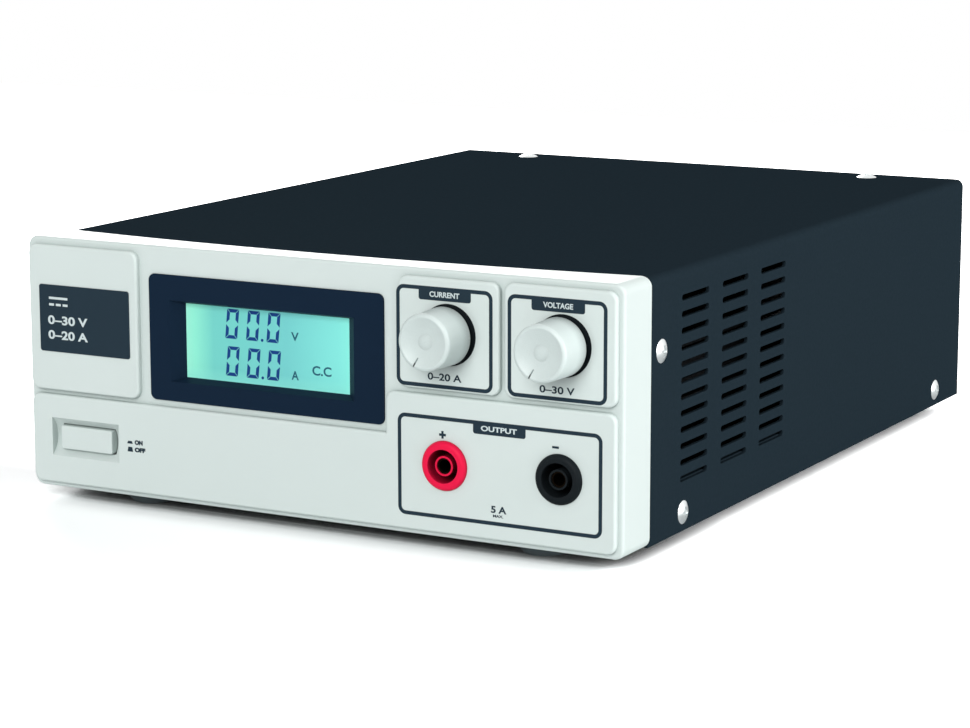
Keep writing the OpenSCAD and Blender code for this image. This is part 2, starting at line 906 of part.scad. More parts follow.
// Helix of round wire: one closed skin of rings, each ring facing along the helix
module button_spring() {
    y0 = button_back + 0.1;
    pitch = (switch_y - button_back - 0.2 - 2 * spring_wire) / spring_turns;
    per_turn = 18;
    sides = 6;
    rings = spring_turns * per_turn;
    points = [for (i = [0 : rings], k = [0 : sides - 1])
        let (a = 360 * i / per_turn, b = 360 * k / sides,
            r = spring_r + spring_wire * cos(b))
        [button_x + r * cos(a), y0 + spring_wire * (1 + sin(b)) + pitch * i / per_turn,
            low_z + button_z + r * sin(a)]];
    walls = [for (i = [0 : rings - 1], k = [0 : sides - 1])
        let (n = (k + 1) % sides)
        [i * sides + k, (i + 1) * sides + k, (i + 1) * sides + n, i * sides + n]];
    first = [for (k = [0 : sides - 1]) k];
    last = [for (k = [sides - 1 : -1 : 0]) rings * sides + k];
    color("#c3c7ca") polyhedron(points, concat(walls, [first, last]), convexity = 6);
}

module power_switch() {
    z = low_z + button_z;
    color("#22262a") {
        difference() {
            union() {
                upright(switch_y, 24) switch_window(0);
                block(button_x - 9, plate_y0 - 1.6, z - 9, button_x + 9, plate_y0, z + 9);
            }
            rod_y(plunger_r + 0.3, switch_y - 1,
                switch_y + plunger_in + button_travel + 1.5, button_x, z);
        }
        for (dx = [-4, 4], dz = [-3, 3]) {
            block(button_x + dx - 1.2, switch_y + 23, z + dz - 0.4,
                button_x + dx + 1.2, switch_y + 31, z + dz + 0.4);
        }
    }
}

module main_board() {
    color("#1f6b45") difference() {
        block(-board_x, board_front, board_z, board_x, board_back, deck_z);
        standoff_places() translate([0, 0, board_z - 1]) cylinder(h = 4, r = 1.7, $fn = 24);
    }
}

module standoff_places() {
    for (x = [6 - board_x, board_x - 6], y = [board_front + 6, board_back - 6]) {
        translate([x, y, 0]) children();
    }
}

module board_standoffs() {
    color("#c9a44c") standoff_places() {
        translate([0, 0, floor_z]) cylinder(h = board_lift, r = 3.4, $fn = 6);
        translate([0, 0, board_z]) cylinder(h = board_t, r = 1.6, $fn = 24);
        translate([0, 0, deck_z]) dome_screw(0.5, 1.5, 3, 1.8);
    }
}

// Standing capacitor with a scored top
module can(x, y, r, h) {
    translate([x, y, deck_z]) difference() {
        union() {
            cylinder(h = h - 1, r = r, $fn = coarse);
            cylinder(h = h, r = r - 1, $fn = coarse);
        }
        for (turn = [0, 90]) rotate(turn) translate([-r * 0.6, -0.3, h - 0.4])
            cube([r * 1.2, 0.6, 1]);
    }
}

module input_capacitors() {
    color("#26282c") for (i = [0, 1]) {
        can(in_can_x, in_can_y + i * in_can_step, in_can_r, in_can_h);
    }
}

module output_capacitors() {
    color("#2c3f6b") for (i = [0 : 4]) {
        can(out_can_x, out_can_y + i * out_can_step, out_can_r, out_can_h);
    }
}

module filter_capacitors() {
    color("#c8a43a") for (i = [0, 1]) {
        translate([film_x, film_y - i * film_step, deck_z]) cube([film_len, film_t, film_h]);
    }
}

// Mains filter choke between the two film capacitors: a closed core with its window
module filter_choke() {
    gap = (film_step - film_t - line_choke_t) / 2;
    window = 10;
    color("#3a3c40") translate([film_x - 2, film_y - gap - line_choke_t, deck_z]) {
        difference() {
            cube([film_len + 2, line_choke_t, line_choke_h]);
            translate([8, -1, 8]) cube([film_len - 14, line_choke_t + 2, window]);
        }
    }
}

module transformer_core() {
    window = (core_w - core_leg) / 2 - core_yoke;
    color("#3a3c40") translate(core_at) difference() {
        translate([-core_w / 2, -core_t / 2, 0]) cube([core_w, core_t, core_h]);
        for (x = [core_yoke - core_w / 2, core_leg / 2]) {
            translate([x, -core_t, core_yoke])
                cube([window, 2 * core_t, core_h - 2 * core_yoke]);
        }
    }
}

// Bobbin with its winding, open along its middle for the core's centre leg
module transformer_winding() {
    outer = core_w / 2 - core_yoke - coil_gap;
    rim = outer + 0.3;
    low = core_yoke + 1;
    high = core_h - core_yoke - 1;
    color("#d9b23c") translate(core_at) difference() {
        union() {
            block(-outer, -coil_t / 2, low, outer, coil_t / 2, high);
            for (z = [low - 0.8, high - 0.7]) {
                block(-rim, -coil_t / 2 - 1, z, rim, coil_t / 2 + 1, z + bobbin_t);
            }
            for (x = [-13, 13], y = [-16, 16]) block(x - 1, y - 1, -3, x + 1, y + 1, low);
        }
        block(-core_leg / 2 - coil_play, -core_t / 2 - coil_play, 0,
            core_leg / 2 + coil_play, core_t / 2 + coil_play, core_h);
    }
}

module choke_cores() {
    color("#c9b04a") for (p = choke_places) {
        translate([p[0], p[1], deck_z + choke_core + 2 * choke_wire + 0.2])
            rotate_extrude($fn = 48) translate([choke_ring, 0])
            circle(choke_core, $fn = 24);
    }
}

module choke_windings() {
    color("#b5622f") for (p = choke_places, i = [0 : choke_turns - 1]) {
        translate([p[0], p[1], deck_z + choke_core + 2 * choke_wire + 0.2])
            rotate([0, 0, 360 * i / choke_turns]) translate([choke_ring, 0, 0])
            rotate([90, 0, 0]) rotate_extrude($fn = 24)
            translate([choke_core + choke_wire + 0.1, 0]) circle(choke_wire, $fn = 13);
    }
}

// Finned section drawn in X and Z: an upright wall with fins to one side
module fins(wall, reach, high, count) {
    square([wall, high]);
    for (i = [0 : count - 1]) {
        translate([wall - 0.1, i * (high - fin_t) / (count - 1)]) square([reach, fin_t]);
    }
}

module input_heatsink() {
    color("#aeb4b8") upright(sink_y, in_sink_len) translate([in_sink_x, deck_z])
        fins(in_sink_wall, in_sink_reach, in_sink_h, 6);
}

module output_heatsink() {
    color("#aeb4b8") upright(sink_y, out_sink_len) translate([out_sink_x, deck_z])
        fins(out_sink_wall, out_sink_reach, out_sink_h, fin_count);
}

module transistor(x, y, side) {
    translate([x, y, deck_z]) {
        block(side > 0 ? 0 : -5, -8, 8, side > 0 ? 5 : 0, 8, 28);
        for (dy = [-5.4, 0, 5.4]) {
            block(side > 0 ? 2 : -2.8, dy - 0.6, 0, side > 0 ? 2.8 : -2, dy + 0.6, 9);
        }
    }
}

module power_transistors() {
    color("#22262a") for (i = [0 : 3]) {
        transistor(out_sink_x, sink_y + 14 + i * 30, -1);
    }
}

module bridge_rectifier() {
    color("#22262a") translate([in_sink_x - bridge_t, sink_y + 26, deck_z])
        cube([bridge_t, bridge_len, bridge_h]);
}

// Small parts on the main board: driver chips, a relay, a film capacitor, resistors
module board_parts() {
    color("#2b2f33") {
        block(-50, front_y + 60, deck_z, -30, front_y + 76, deck_z + 15);
        block(-20, front_y + 60, deck_z, 0, front_y + 68, deck_z + 4);
        block(5, front_y + 60, deck_z, 20, front_y + 68, deck_z + 4);
        block(-60, front_y + 100, deck_z, -50, front_y + 114, deck_z + 9);
        for (i = [0 : 5]) block(8, front_y + 84 + i * 12, deck_z,
            18, front_y + 87 + i * 12, deck_z + 3);
        block(-24, front_y + 50, deck_z, 0, front_y + 55, deck_z + 8);
    }
}

module fan_frame() {
    z = low_z + fan_z;
    color("#26282c") {
        difference() {
            translate([fan_x - fan_w / 2, fan_y, z - fan_w / 2]) cube([fan_w, fan_t, fan_w]);
            rod_y(fan_bore_r, fan_y - 1, fan_y + fan_t + 1, fan_x, z);
            for (dx = [-1, 1], dz = [-1, 1]) {
                step = fan_w * 5 / 12;
                rod_y(2.1, fan_y - 1, panel_y + 1, fan_x + dx * step, z + dz * step, 24);
            }
        }
        difference() {
            union() {
                rod_y(fan_hub_r, fan_y, fan_y + 3, fan_x, z);
                rod_y(4, fan_y, fan_y + 9, fan_x, z);
                for (turn = [45 : 90 : 315]) translate([fan_x, fan_y, z])
                    rotate([0, turn, 0]) block(-2, 0, 3, 2, 2.6, fan_bore_r + 1);
            }
            rod_y(1.5 + run_play, fan_y + 1.4, fan_y + 12, fan_x, z);
        }
    }
}

// Fan wheel: a cup-shaped hub on its pin, with pitched and twisted blades
module fan_rotor() {
    z = low_z + fan_z;
    start = fan_y + 3.6;
    depth = fan_t - 5.2;
    chord = depth * 1.02;
    tip = sqrt(pow(fan_bore_r - blade_gap, 2) - chord * chord / 4);
    span = tip - fan_hub_r + 1;
    color("#1b1d20") {
        difference() {
            rod_y(fan_hub_r, start, start + depth, fan_x, z);
            rod_y(fan_hub_r - 1.6, start - 1, start + depth - 2, fan_x, z);
        }
        rod_y(1.5, fan_y + 1.8, start + depth - 1, fan_x, z, 32);
        translate([fan_x, start + depth / 2, z]) for (i = [0 : fan_blades - 1]) {
            rotate([0, 360 * i / fan_blades, 0]) translate([0, 0, fan_hub_r - 1])
                linear_extrude(span, twist = 18, slices = 5) rotate(38) blade_section(chord);
        }
    }
}

// Curved section of a blade, thickest in its middle
module blade_section(chord) {
    sag = chord * 0.12;
    thick = 1.2;
    n = 4;
    polygon(concat(
        [for (i = [-n : n]) [chord / 2 * i / n, sag * (1 - (i / n) * (i / n))]],
        [for (i = [n : -1 : -n]) [chord / 2 * i / n,
            (sag + thick) * (1 - (i / n) * (i / n)) + 0.4]]));
}

module fan_guard() {
    z = low_z + fan_z;
    wire = 0.9;
    y = wall_out + wire;
    step = fan_w * 5 / 12;
    color("#c3c7ca") {
        for (r = [8 : 6 : 26]) translate([fan_x, y, z]) rotate([90, 0, 0])
            rotate_extrude($fn = 48) translate([r, 0]) circle(wire, $fn = 13);
        for (turn = [45 : 90 : 315]) {
            reach = step * sqrt(2) - 3.4;
            translate([fan_x, y, z]) rotate([0, turn, 0]) translate([0, 0, 7.4])
                cylinder(h = reach - 7.4, r = wire, $fn = 16);
            translate([fan_x, y, z]) rotate([0, turn, 0]) translate([0, 0, step * sqrt(2)])
                rotate([90, 0, 0]) rotate_extrude($fn = 24)
                translate([3.2, 0]) circle(wire, $fn = 13);
        }
    }
}

module fan_screws() {
    step = fan_w * 5 / 12;
    color("#c3c7ca") for (dx = [-step, step], dz = [-step, step]) {
        translate([fan_x + dx, wall_out + 1.8, low_z + fan_z + dz]) rotate([-90, 0, 0])
            dome_screw(fan_t + sheet + 1.8, 1.9, 4, 1.8);
    }
}

module inlet_body() {
    z = low_z + inlet_z;
    w = inlet_w / 2;
    h = inlet_h / 2;
    color("#17191b") difference() {
        union() {
            upright(wall_out, 2.4) round_rect(inlet_x - w - 2, z - h - 2,
                inlet_x + w + 2, z + h + 2, 3);
            block(inlet_x - w, wall_out - 26, z - h, inlet_x + w, wall_out + 0.1, z + h);
        }
        upright(wall_out + 2.4 - cavity_deep, cavity_deep + 1) inlet_mouth();
        drawer_space(0.2);
        for (p = pin_places()) {
            block(p[0] - 1.02, wall_out - 30, p[1] - 2.02,
                p[0] + 1.02, wall_out - 10, p[1] + 2.02);
        }
    }
}

// Outline of the mains connector's mouth, with two bevelled upper corners
module inlet_mouth() {
    w = cavity_w / 2;
    h = cavity_h / 2;
    cut = 4.2;
    translate([inlet_x, low_z + inlet_z + 10])
        polygon([[-w, -h], [w, -h], [w, h - cut], [w - cut, h], [cut - w, h], [-w, h - cut]]);
}

function pin_places() = [
    [inlet_x - 7, low_z + inlet_z + 9],
    [inlet_x + 7, low_z + inlet_z + 9],
    [inlet_x, low_z + inlet_z + 13]];

module drawer_space(play) {
    block(inlet_x - drawer_w / 2 - play, wall_out + 2.4 - drawer_deep - play,
        low_z + inlet_z - 19 - play, inlet_x + drawer_w / 2 + play, wall_out + 10,
        low_z + inlet_z - 19 + drawer_h + play);
}

module inlet_pins() {
    color("#c9a44c") for (p = pin_places()) {
        block(p[0] - 1, wall_out - 34, p[1] - 2, p[0] + 1, wall_out - 1, p[1] + 2);
    }
}

// Drawer that carries the fuse, with a finger lip on its face
module fuse_drawer() {
    z = low_z + inlet_z - 19;
    face = wall_out + 2.4;
    color("#22262a") difference() {
        union() {
            block(inlet_x - drawer_w / 2, face - drawer_deep, z,
                inlet_x + drawer_w / 2, face, z + drawer_h);
            block(inlet_x - drawer_w / 2 - 1, face + 0.1, z - 1,
                inlet_x + drawer_w / 2 + 1, face + 1.6, z + drawer_h + 1);
            block(inlet_x - drawer_w / 2, face - 0.1, z,
                inlet_x + drawer_w / 2, face + 0.3, z + drawer_h);
            block(inlet_x - 5, face + 1.5, z + drawer_h - 2, inlet_x + 5, face + 3, z + drawer_h);
        }
        translate([inlet_x - drawer_w / 2 + 1, face - drawer_deep + 6, z + 1.6])
            cube([drawer_w - 2, 7, drawer_h]);
    }
}

module fuse() {
    y = wall_out + 2.4 - drawer_deep + 9.5;
    z = low_z + inlet_z - 19 + 4.25;
    color("#d7dfe2") translate([inlet_x - 10, y, z]) rotate([0, 90, 0]) {
        cylinder(h = 20, r = 2.4, $fn = coarse);
        for (x = [0, 14]) translate([0, 0, x]) cylinder(h = 6, r = 2.6, $fn = coarse);
    }
}

module post_bases() {
    for (i = [0, 1]) {
        color(i ? "#17191b" : "#d81a34") difference() {
            union() {
                rod_y(post_d / 2, wall_out, wall_out + post_base_h, post_x[i],
                    low_z + post_z);
                rod_y(5.1, panel_y - 2, wall_out + 0.1, post_x[i], low_z + post_z);
            }
            rod_y(stud_d / 2 + 0.02, panel_y - 20, wall_out + 20, post_x[i],
                low_z + post_z);
        }
        color(i ? "#17191b" : "#d81a34")
            tube_y(post_d / 2 - 1, 5.15, panel_y - 5, panel_y, post_x[i], low_z + post_z);
    }
}

// Metal stud with a 4 mm bore from the back, and the two nuts that clamp a busbar
module post_studs() {
    z = low_z + post_z;
    color("#c9a44c") for (x = post_x) difference() {
        union() {
            rod_y(stud_d / 2, panel_y - 22, cap_end - 0.6, x, z);
            rod_y(stud_d / 2 + 3, panel_y - 10, panel_y - 5, x, z, 6);
            rod_y(stud_d / 2 + 3, panel_y - 16.5, panel_y - 11.5, x, z, 6);
        }
        rod_y(contact_d / 2, cap_end - 20, cap_end + 1, x, z);
    }
}

module clamp_ring(x) {
    color("#c3c7ca") tube_y(post_d / 2 - 1.5, stud_d / 2 + run_play,
        wall_out + post_base_h, cap_start, x, low_z + post_z);
}

module red_clamp_ring() {
    clamp_ring(post_x[0]);
}

module black_clamp_ring() {
    clamp_ring(post_x[1]);
}

// Fluted cap of a binding post: grip grooves round a drum with a rounded end
module post_cap(x) {
    z = low_z + post_z;
    r = post_d / 2;
    h = cap_end - cap_start;
    difference() {
        translate([x, cap_start, z]) rotate([-90, 0, 0]) rotate_extrude($fn = fine)
            difference() {
                union() {
                    square([r - 1, h]);
                    square([r, h - 1.5]);
                    translate([r - 1.5, h - 1.5]) quarter(1.5);
                }
                square([stud_d / 2 + run_play, h]);
            }
        for (i = [0 : 11]) translate([x, cap_start + 2.5, z]) rotate([0, 30 * i, 0])
            translate([r + 0.6, 0, 0]) rotate([-90, 0, 0])
            cylinder(h = h, r = 1.5, $fn = 24);
    }
}

module red_post_cap() {
    color("#d81a34") post_cap(post_x[0]);
}

module black_post_cap() {
    color("#17191b") post_cap(post_x[1]);
}

// Copper strips from the output capacitors to the two binding posts
module busbars() {
    color("#c07a45") for (i = [0, 1]) {
        y = panel_y - 10;
        x = post_x[i];
        difference() {
            union() {
                block(x - 6, y - 1.5, deck_z, x + 6, y, low_z + post_z + 7);
                block(x - 6, board_back - 16, deck_z, x + 6, y, deck_z + 1.5);
            }
            rod_y(stud_d / 2 + 0.02, y - 5, y + 5, x, low_z + post_z);
        }
    }
}

// Leads: output sockets, mains inlet and power switch to the main board
module wiring() {
    tail = front_y + socket_len + 6;
    front_end = board_front + 12;
    pin = pin_places();
    switch_end = switch_y + 31;
    for (i = [0, 1]) color(i ? "#17191b" : "#d81a34")
        lead([socket_x[i], tail, low_z + socket_z], front_end - tail,
            low_z + socket_z - deck_z, 1.6);
    for (i = [0, 1]) color(i ? "#2f5fae" : "#7a4a2a")
        lead([pin[i][0], wall_out - 34, pin[i][1]], 12, pin[i][1] - deck_z, 1.4, 1);
    color("#7a4a2a") lead([button_x + 4, switch_end, low_z + button_z + 3], 8,
        low_z + button_z + 3 - deck_z, 1.2);
}

module feet() {
    color("#4a4e50") foot_places() difference() {
        union() {
            cylinder(h = tray_z, r = foot_d / 2 - 1, $fn = fine);
            translate([0, 0, 1]) cylinder(h = tray_z - 1, r = foot_d / 2, $fn = fine);
        }
        translate([0, 0, -1]) cylinder(h = 3.2, r = 4.2, $fn = coarse);
        cylinder(h = tray_z + 1, r = screw_r + 0.02, $fn = 24);
    }
}

module foot_screws() {
    color("#c3c7ca") foot_places() {
        translate([0, 0, 2.2]) mirror([0, 0, 1]) dome_screw(tray_z + sheet, screw_r, 3.6, 1.6);
        translate([0, 0, floor_z]) difference() {
            cylinder(h = 3, r = 4, $fn = 6);
            translate([0, 0, -1]) cylinder(h = 5, r = screw_r + 0.02, $fn = 24);
        }
    }
}

module cover_screws() {
    color("#d5d9dc") for (side = [-1, 1]) {
        for (p = [[side_screw_y[0], side_screw_z], [side_screw_y[1], side_screw_z],
                [upper_screw_y, upper_screw_z]]) {
            translate([side * half_w, p[0], low_z + p[1]]) rotate([0, 90 * side, 0])
                dome_screw(5);
        }
    }
}

module panel_screws() {
    color("#d5d9dc") for (side = [-1, 1]) {
        translate([side * top_screw_x, top_screw_y, top_z]) dome_screw(5);
    }
}

module bezel_screws() {
    color("#c3c7ca") for (p = bezel_boss) {
        translate([p[0], plate_y0 + sheet, low_z + p[1]]) rotate([-90, 0, 0])
            dome_screw(10, pilot_r - 0.02, 3, 1.8);
    }
}

top_cover();
base_tray();
front_plate();
rear_panel();
front_bezel();
display_frame();
display_glass();
backlight();
control_board();
knob_collars();
current_pot();
voltage_pot();
current_shaft();
voltage_shaft();
pot_nuts();
current_knob();
voltage_knob();
red_socket();
black_socket();
socket_contacts();
socket_nuts();
power_button();
button_spring();
power_switch();
main_board();
board_standoffs();
input_capacitors();
output_capacitors();
filter_capacitors();
transformer_core();
transformer_winding();
choke_cores();
choke_windings();
filter_choke();
input_heatsink();
output_heatsink();
power_transistors();
bridge_rectifier();
board_parts();
fan_frame();
fan_rotor();
fan_guard();
fan_screws();
inlet_body();
inlet_pins();
fuse_drawer();
fuse();
post_bases();
post_studs();
red_clamp_ring();
black_clamp_ring();
red_post_cap();
black_post_cap();
busbars();
wiring();
feet();
foot_screws();
cover_screws();
panel_screws();
bezel_screws();
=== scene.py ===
# %% [markdown]
# # A laboratory power supply, from solids to a finished picture
#
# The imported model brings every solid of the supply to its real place. The cells below give
# each solid the finish of its real material, print the front the way a pad printer would,
# build a small white studio and put the camera where the photograph was taken from.
# Blender counts in metres; this script writes its sizes in millimetres.

import json
import math

import bmesh
import bpy
from mathutils import Matrix, Vector


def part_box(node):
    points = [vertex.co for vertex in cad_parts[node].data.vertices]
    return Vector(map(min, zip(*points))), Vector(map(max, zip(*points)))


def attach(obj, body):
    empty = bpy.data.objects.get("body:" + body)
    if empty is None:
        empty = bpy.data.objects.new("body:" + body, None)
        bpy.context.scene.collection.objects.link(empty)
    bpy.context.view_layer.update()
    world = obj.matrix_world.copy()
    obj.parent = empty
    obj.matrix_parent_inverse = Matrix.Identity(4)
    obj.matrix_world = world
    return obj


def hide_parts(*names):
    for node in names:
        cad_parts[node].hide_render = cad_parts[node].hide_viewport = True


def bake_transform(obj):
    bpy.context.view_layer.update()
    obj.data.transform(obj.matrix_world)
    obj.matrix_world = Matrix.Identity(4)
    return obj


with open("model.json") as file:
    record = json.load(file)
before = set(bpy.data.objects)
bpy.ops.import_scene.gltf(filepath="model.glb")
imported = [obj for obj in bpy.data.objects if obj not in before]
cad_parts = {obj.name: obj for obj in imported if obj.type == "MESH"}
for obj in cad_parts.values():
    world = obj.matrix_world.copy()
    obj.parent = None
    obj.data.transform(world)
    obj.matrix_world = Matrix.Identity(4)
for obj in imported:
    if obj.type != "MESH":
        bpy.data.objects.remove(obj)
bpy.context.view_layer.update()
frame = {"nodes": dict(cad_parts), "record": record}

# %% [markdown]
# Two planes carry everything on the front: the pads, which stand furthest forward, and the
# lower edge of the cover, from which the heights on the front are counted. The display's
# panel and the back carry print of their own. All four come from the solids themselves, so
# the print follows them.

# %% Planes to measure from
MM = 0.001
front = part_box("front_bezel")[0].y / MM
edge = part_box("top_cover")[0].z / MM
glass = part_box("display_glass")[0].y / MM
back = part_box("rear_panel")[1].y / MM
print("pads", round(front, 2), "cover edge", round(edge, 2), "glass", round(glass, 2),
      "back", round(back, 2))

# %% [markdown]
# ## The camera
#
# The vanishing lines of the case give the lens and the direction, and the known depth of
# the case gives the distance. The camera looks down by a little over ten degrees and
# stands to the right of the front. The roll makes up for a photograph that isn't quite level.

# %% Camera
LENS, SENSOR = 108.22, 36  # mm
STAND = Vector((489.353, -925.100, 227.762))  # mm from the middle of the supply's foot
DEGREES = (28.8385, 10.6384, -0.0706)  # round Z, downwards and round the view
yaw, pitch, roll = (math.radians(angle) for angle in DEGREES)

camera_data = bpy.data.cameras.new("camera")
camera_data.lens = LENS
camera_data.sensor_width = SENSOR
camera_data.clip_start = 10 * MM
camera = bpy.data.objects.new("camera", camera_data)
bpy.context.scene.collection.objects.link(camera)
camera.matrix_world = (
    Matrix.Translation(STAND * MM)
    @ Matrix.Rotation(yaw, 4, "Z")
    @ Matrix.Rotation(math.pi / 2 - pitch, 4, "X")
    @ Matrix.Rotation(roll, 4, "Z")
)
bpy.context.scene.camera = camera
bpy.context.scene.view_settings.view_transform = "Standard"
print("camera at", [round(v, 3) for v in camera.matrix_world.translation], "lens", LENS)

# %% [markdown]
# ## Colours and nodes
#
# Colours are written as sRGB hex, as a colour picker shows them. Shaders add light, so
# they need linear values: one function does that. Another one adds a node, with its
# settings and its inputs, and links an input where it is given another node's output. A
# third one starts a material: what holds all over its surface is set on the shader itself,
# and only what changes from place to place gets nodes.

# %% Colour and node helpers
def linear(code):
    """Turns an sRGB hex colour into linear red, green, blue and alpha."""
    channels = [int(code[i:i + 2], 16) / 255 for i in (1, 3, 5)]
    light = [c / 12.92 if c <= 0.04045 else ((c + 0.055) / 1.055) ** 2.4 for c in channels]
    return light + [1]


def add(tree, kind, inputs=None, **settings):
    """Adds a node. An input takes a value, or the output socket that drives it."""
    node = tree.nodes.new("ShaderNode" + kind)
    for name, value in settings.items():
        setattr(node, name, value)
    for name, value in (inputs or {}).items():
        if isinstance(value, bpy.types.NodeSocket):
            tree.links.new(value, node.inputs[name])
        else:
            node.inputs[name].default_value = value
    return node


def new_finish(name, **values):
    """A material with its tree, its shader with those values set, and a place in metres."""
    material = bpy.data.materials.new(name)
    material.use_nodes = True
    tree = material.node_tree
    shader = tree.nodes["Principled BSDF"]
    for socket, value in values.items():
        shader.inputs[socket.replace("_", " ")].default_value = value
    place = add(tree, "TexCoord").outputs["Object"]
    return material, tree, shader, place


finishes = {}

# %% [markdown]
# ## Moulded plastics
#
# ABS and its relatives carry their pigment all through, so the colour is even. What the
# eye reads as plastic is the grain that the mould's spark-eroded steel leaves: pits of a
# few tenths of a millimetre, only hundredths deep. A noise at the grain's size drives the
# bump, and a much larger one shifts the colour by a few per cent, as handling does.
#
# A pale plastic lies in shade where little of the room reaches it: in the step between two
# pads, in the switch's scoop, in a socket's throat. A small studio with a white floor
# washes that out, so an occlusion node paints that shade into the base colour, within a
# few millimetres.

# %% Moulded plastics
HAND = 55  # mm, the patches that handling leaves


def moulded(name, colour, worn, roughness, grain=0.5, depth=0.012, corners=None, **values):
    """Plastic with a mould's grain, its size and depth in mm.

    Corners get painted shade when given: reach (mm), shade, and the open share that counts as
    none.
    """
    material, tree, shader, place = new_finish(name, Roughness=roughness, **values)
    pits = add(tree, "TexNoise", {"Vector": place, "Scale": 1 / (grain * MM), "Detail": 2.0})
    patches = add(tree, "TexNoise", {"Vector": place, "Scale": 1 / (HAND * MM), "Detail": 3.0})
    tint = add(tree, "MixRGB", {
        "Fac": patches.outputs["Fac"], "Color1": linear(colour), "Color2": linear(worn)})
    bump = add(tree, "Bump", {"Height": pits.outputs["Fac"], "Distance": depth * MM})
    # Painted shade: where the occlusion node finds little open room, the base colour runs to
    # the shade colour
    if corners:
        reach, shade, least = corners
        sky = add(tree, "AmbientOcclusion", {"Distance": reach * MM}, samples=8)
        open_sky = add(tree, "MapRange", {"Value": sky.outputs["AO"], "From Min": least})
        tint = add(tree, "MixRGB", {
            "Fac": open_sky.outputs["Result"], "Color1": linear(shade),
            "Color2": tint.outputs["Color"]})
    tree.links.new(tint.outputs["Color"], shader.inputs["Base Color"])
    tree.links.new(bump.outputs["Normal"], shader.inputs["Normal"])
    return material


# ABS of the bezel and the button: white with a little green-grey, satin from fine sparks,
# with painted shade in the steps between pads and in the switch's scoop
finishes["white_abs"] = moulded(
    "white_abs", "#DAE4E1", "#D4DFDC", 0.48, 0.45, 0.010, (4, "#AAB5B2", 0.0))
# ABS of the display's frame: navy, smoother than the bezel round it
finishes["navy_plastic"] = moulded(
    "navy_abs", "#16273A", "#142436", 0.45, 0.4, 0.005, Specular_IOR_Level=0.03)
# Glass-filled nylon of the black socket and caps, the inlet and the fan
finishes["black_plastic"] = moulded(
    "black_nylon", "#181D20", "#1C2124", 0.45, 0.5, 0.008, Specular_IOR_Level=0.05)
# Polypropylene of the red socket and cap, the red that stands for plus, with painted dark
# red shade deep in the socket's throat
finishes["red_plastic"] = moulded(
    "red_polypropylene", "#F6204D", "#EC1A48", 0.40, 0.5, 0.005, (6, "#4A0512", 0.0),
    Specular_IOR_Level=0.08)
# ABS of the knobs: the bezel's white, moulded smoother, so the dish catches the light, with
# near-black painted shade at the knob's foot by the collar and faintly in the dish
finishes["knob_plastic"] = moulded(
    "knob_abs", "#D3DEDC", "#CFDBD8", 0.40, 0.3, 0.005, (8, "#101A19", 0.4))
# Rubber of the feet: matt, warm grey
finishes["foot_rubber"] = moulded("foot_rubber", "#434C4F", "#4B5457", 0.82, 0.8, 0.02)
# Polyester boxes of the film capacitors, filled with resin
finishes["film_box"] = moulded("film_capacitor_box", "#C9A43C", "#BE9A36", 0.4, 0.6, 0.008)
# Ferrite of the cores: pressed powder, sintered to a fine grey-black grain
finishes["ferrite"] = moulded("sintered_ferrite", "#2C2E31", "#35373A", 0.7, 0.25, 0.02)
print("moulded finishes:", sorted(finishes))

# %% [markdown]
# ## Powder-coated steel
#
# The cover is sheet steel under a baked polyester powder. The powder never flows quite
# flat: it keeps an orange peel of about a millimetre with a finer sparkle on it, and that
# scatters a grazing light so well that the flat roof stays dark. So the roughness is
# high, the specular level low, and the peel is a bump from two noises.

# %% Powder coat
PEEL, GRIT = 1.3, 0.35  # mm, the orange peel and the sparkle on it
PEEL_SHARE = 0.35  # of the peel's height, added to the grit's
COAT_DEPTH = 0.02  # mm


def powder_coat(name, colour, second):
    """Baked powder on sheet steel, its colour wandering between two with the peel."""
    material, tree, shader, place = new_finish(
        name, Roughness=0.95, Specular_IOR_Level=0.0)
    peel = add(tree, "TexNoise", {"Vector": place, "Scale": 1 / (PEEL * MM), "Detail": 1.0})
    grit = add(tree, "TexNoise", {"Vector": place, "Scale": 1 / (GRIT * MM), "Detail": 1.0})
    both = add(tree, "Math", {
        0: peel.outputs["Fac"], 1: PEEL_SHARE, 2: grit.outputs["Fac"]},
        operation="MULTIPLY_ADD")
    bump = add(tree, "Bump", {"Height": both.outputs[0], "Distance": COAT_DEPTH * MM})
    tint = add(tree, "MixRGB", {
        "Fac": peel.outputs["Fac"], "Color1": linear(colour), "Color2": linear(second)})
    tree.links.new(tint.outputs["Color"], shader.inputs["Base Color"])
    tree.links.new(bump.outputs["Normal"], shader.inputs["Normal"])
    return material


# Polyester powder in slate, on the cover, the back and the tray
finishes["coat_steel"] = powder_coat("slate_powder_coat", "#1F2B32", "#242F37")
print("powder peel", PEEL, "mm, grit", GRIT, "mm")

# %% [markdown]
# ## Bare and plated metals
#
# Zinc leaves faint crystals on sheet, nickel is nearly a mirror, and extruded aluminium
# keeps the lines of its die. All share one recipe: a metal whose roughness wanders with a
# noise. The noise is stretched along one axis where a die or a brush drew it out. The
# colour of a metal is that of its reflection, so only dye makes it dark; the near-black
# brass of the sockets' sleeves is painted shade.

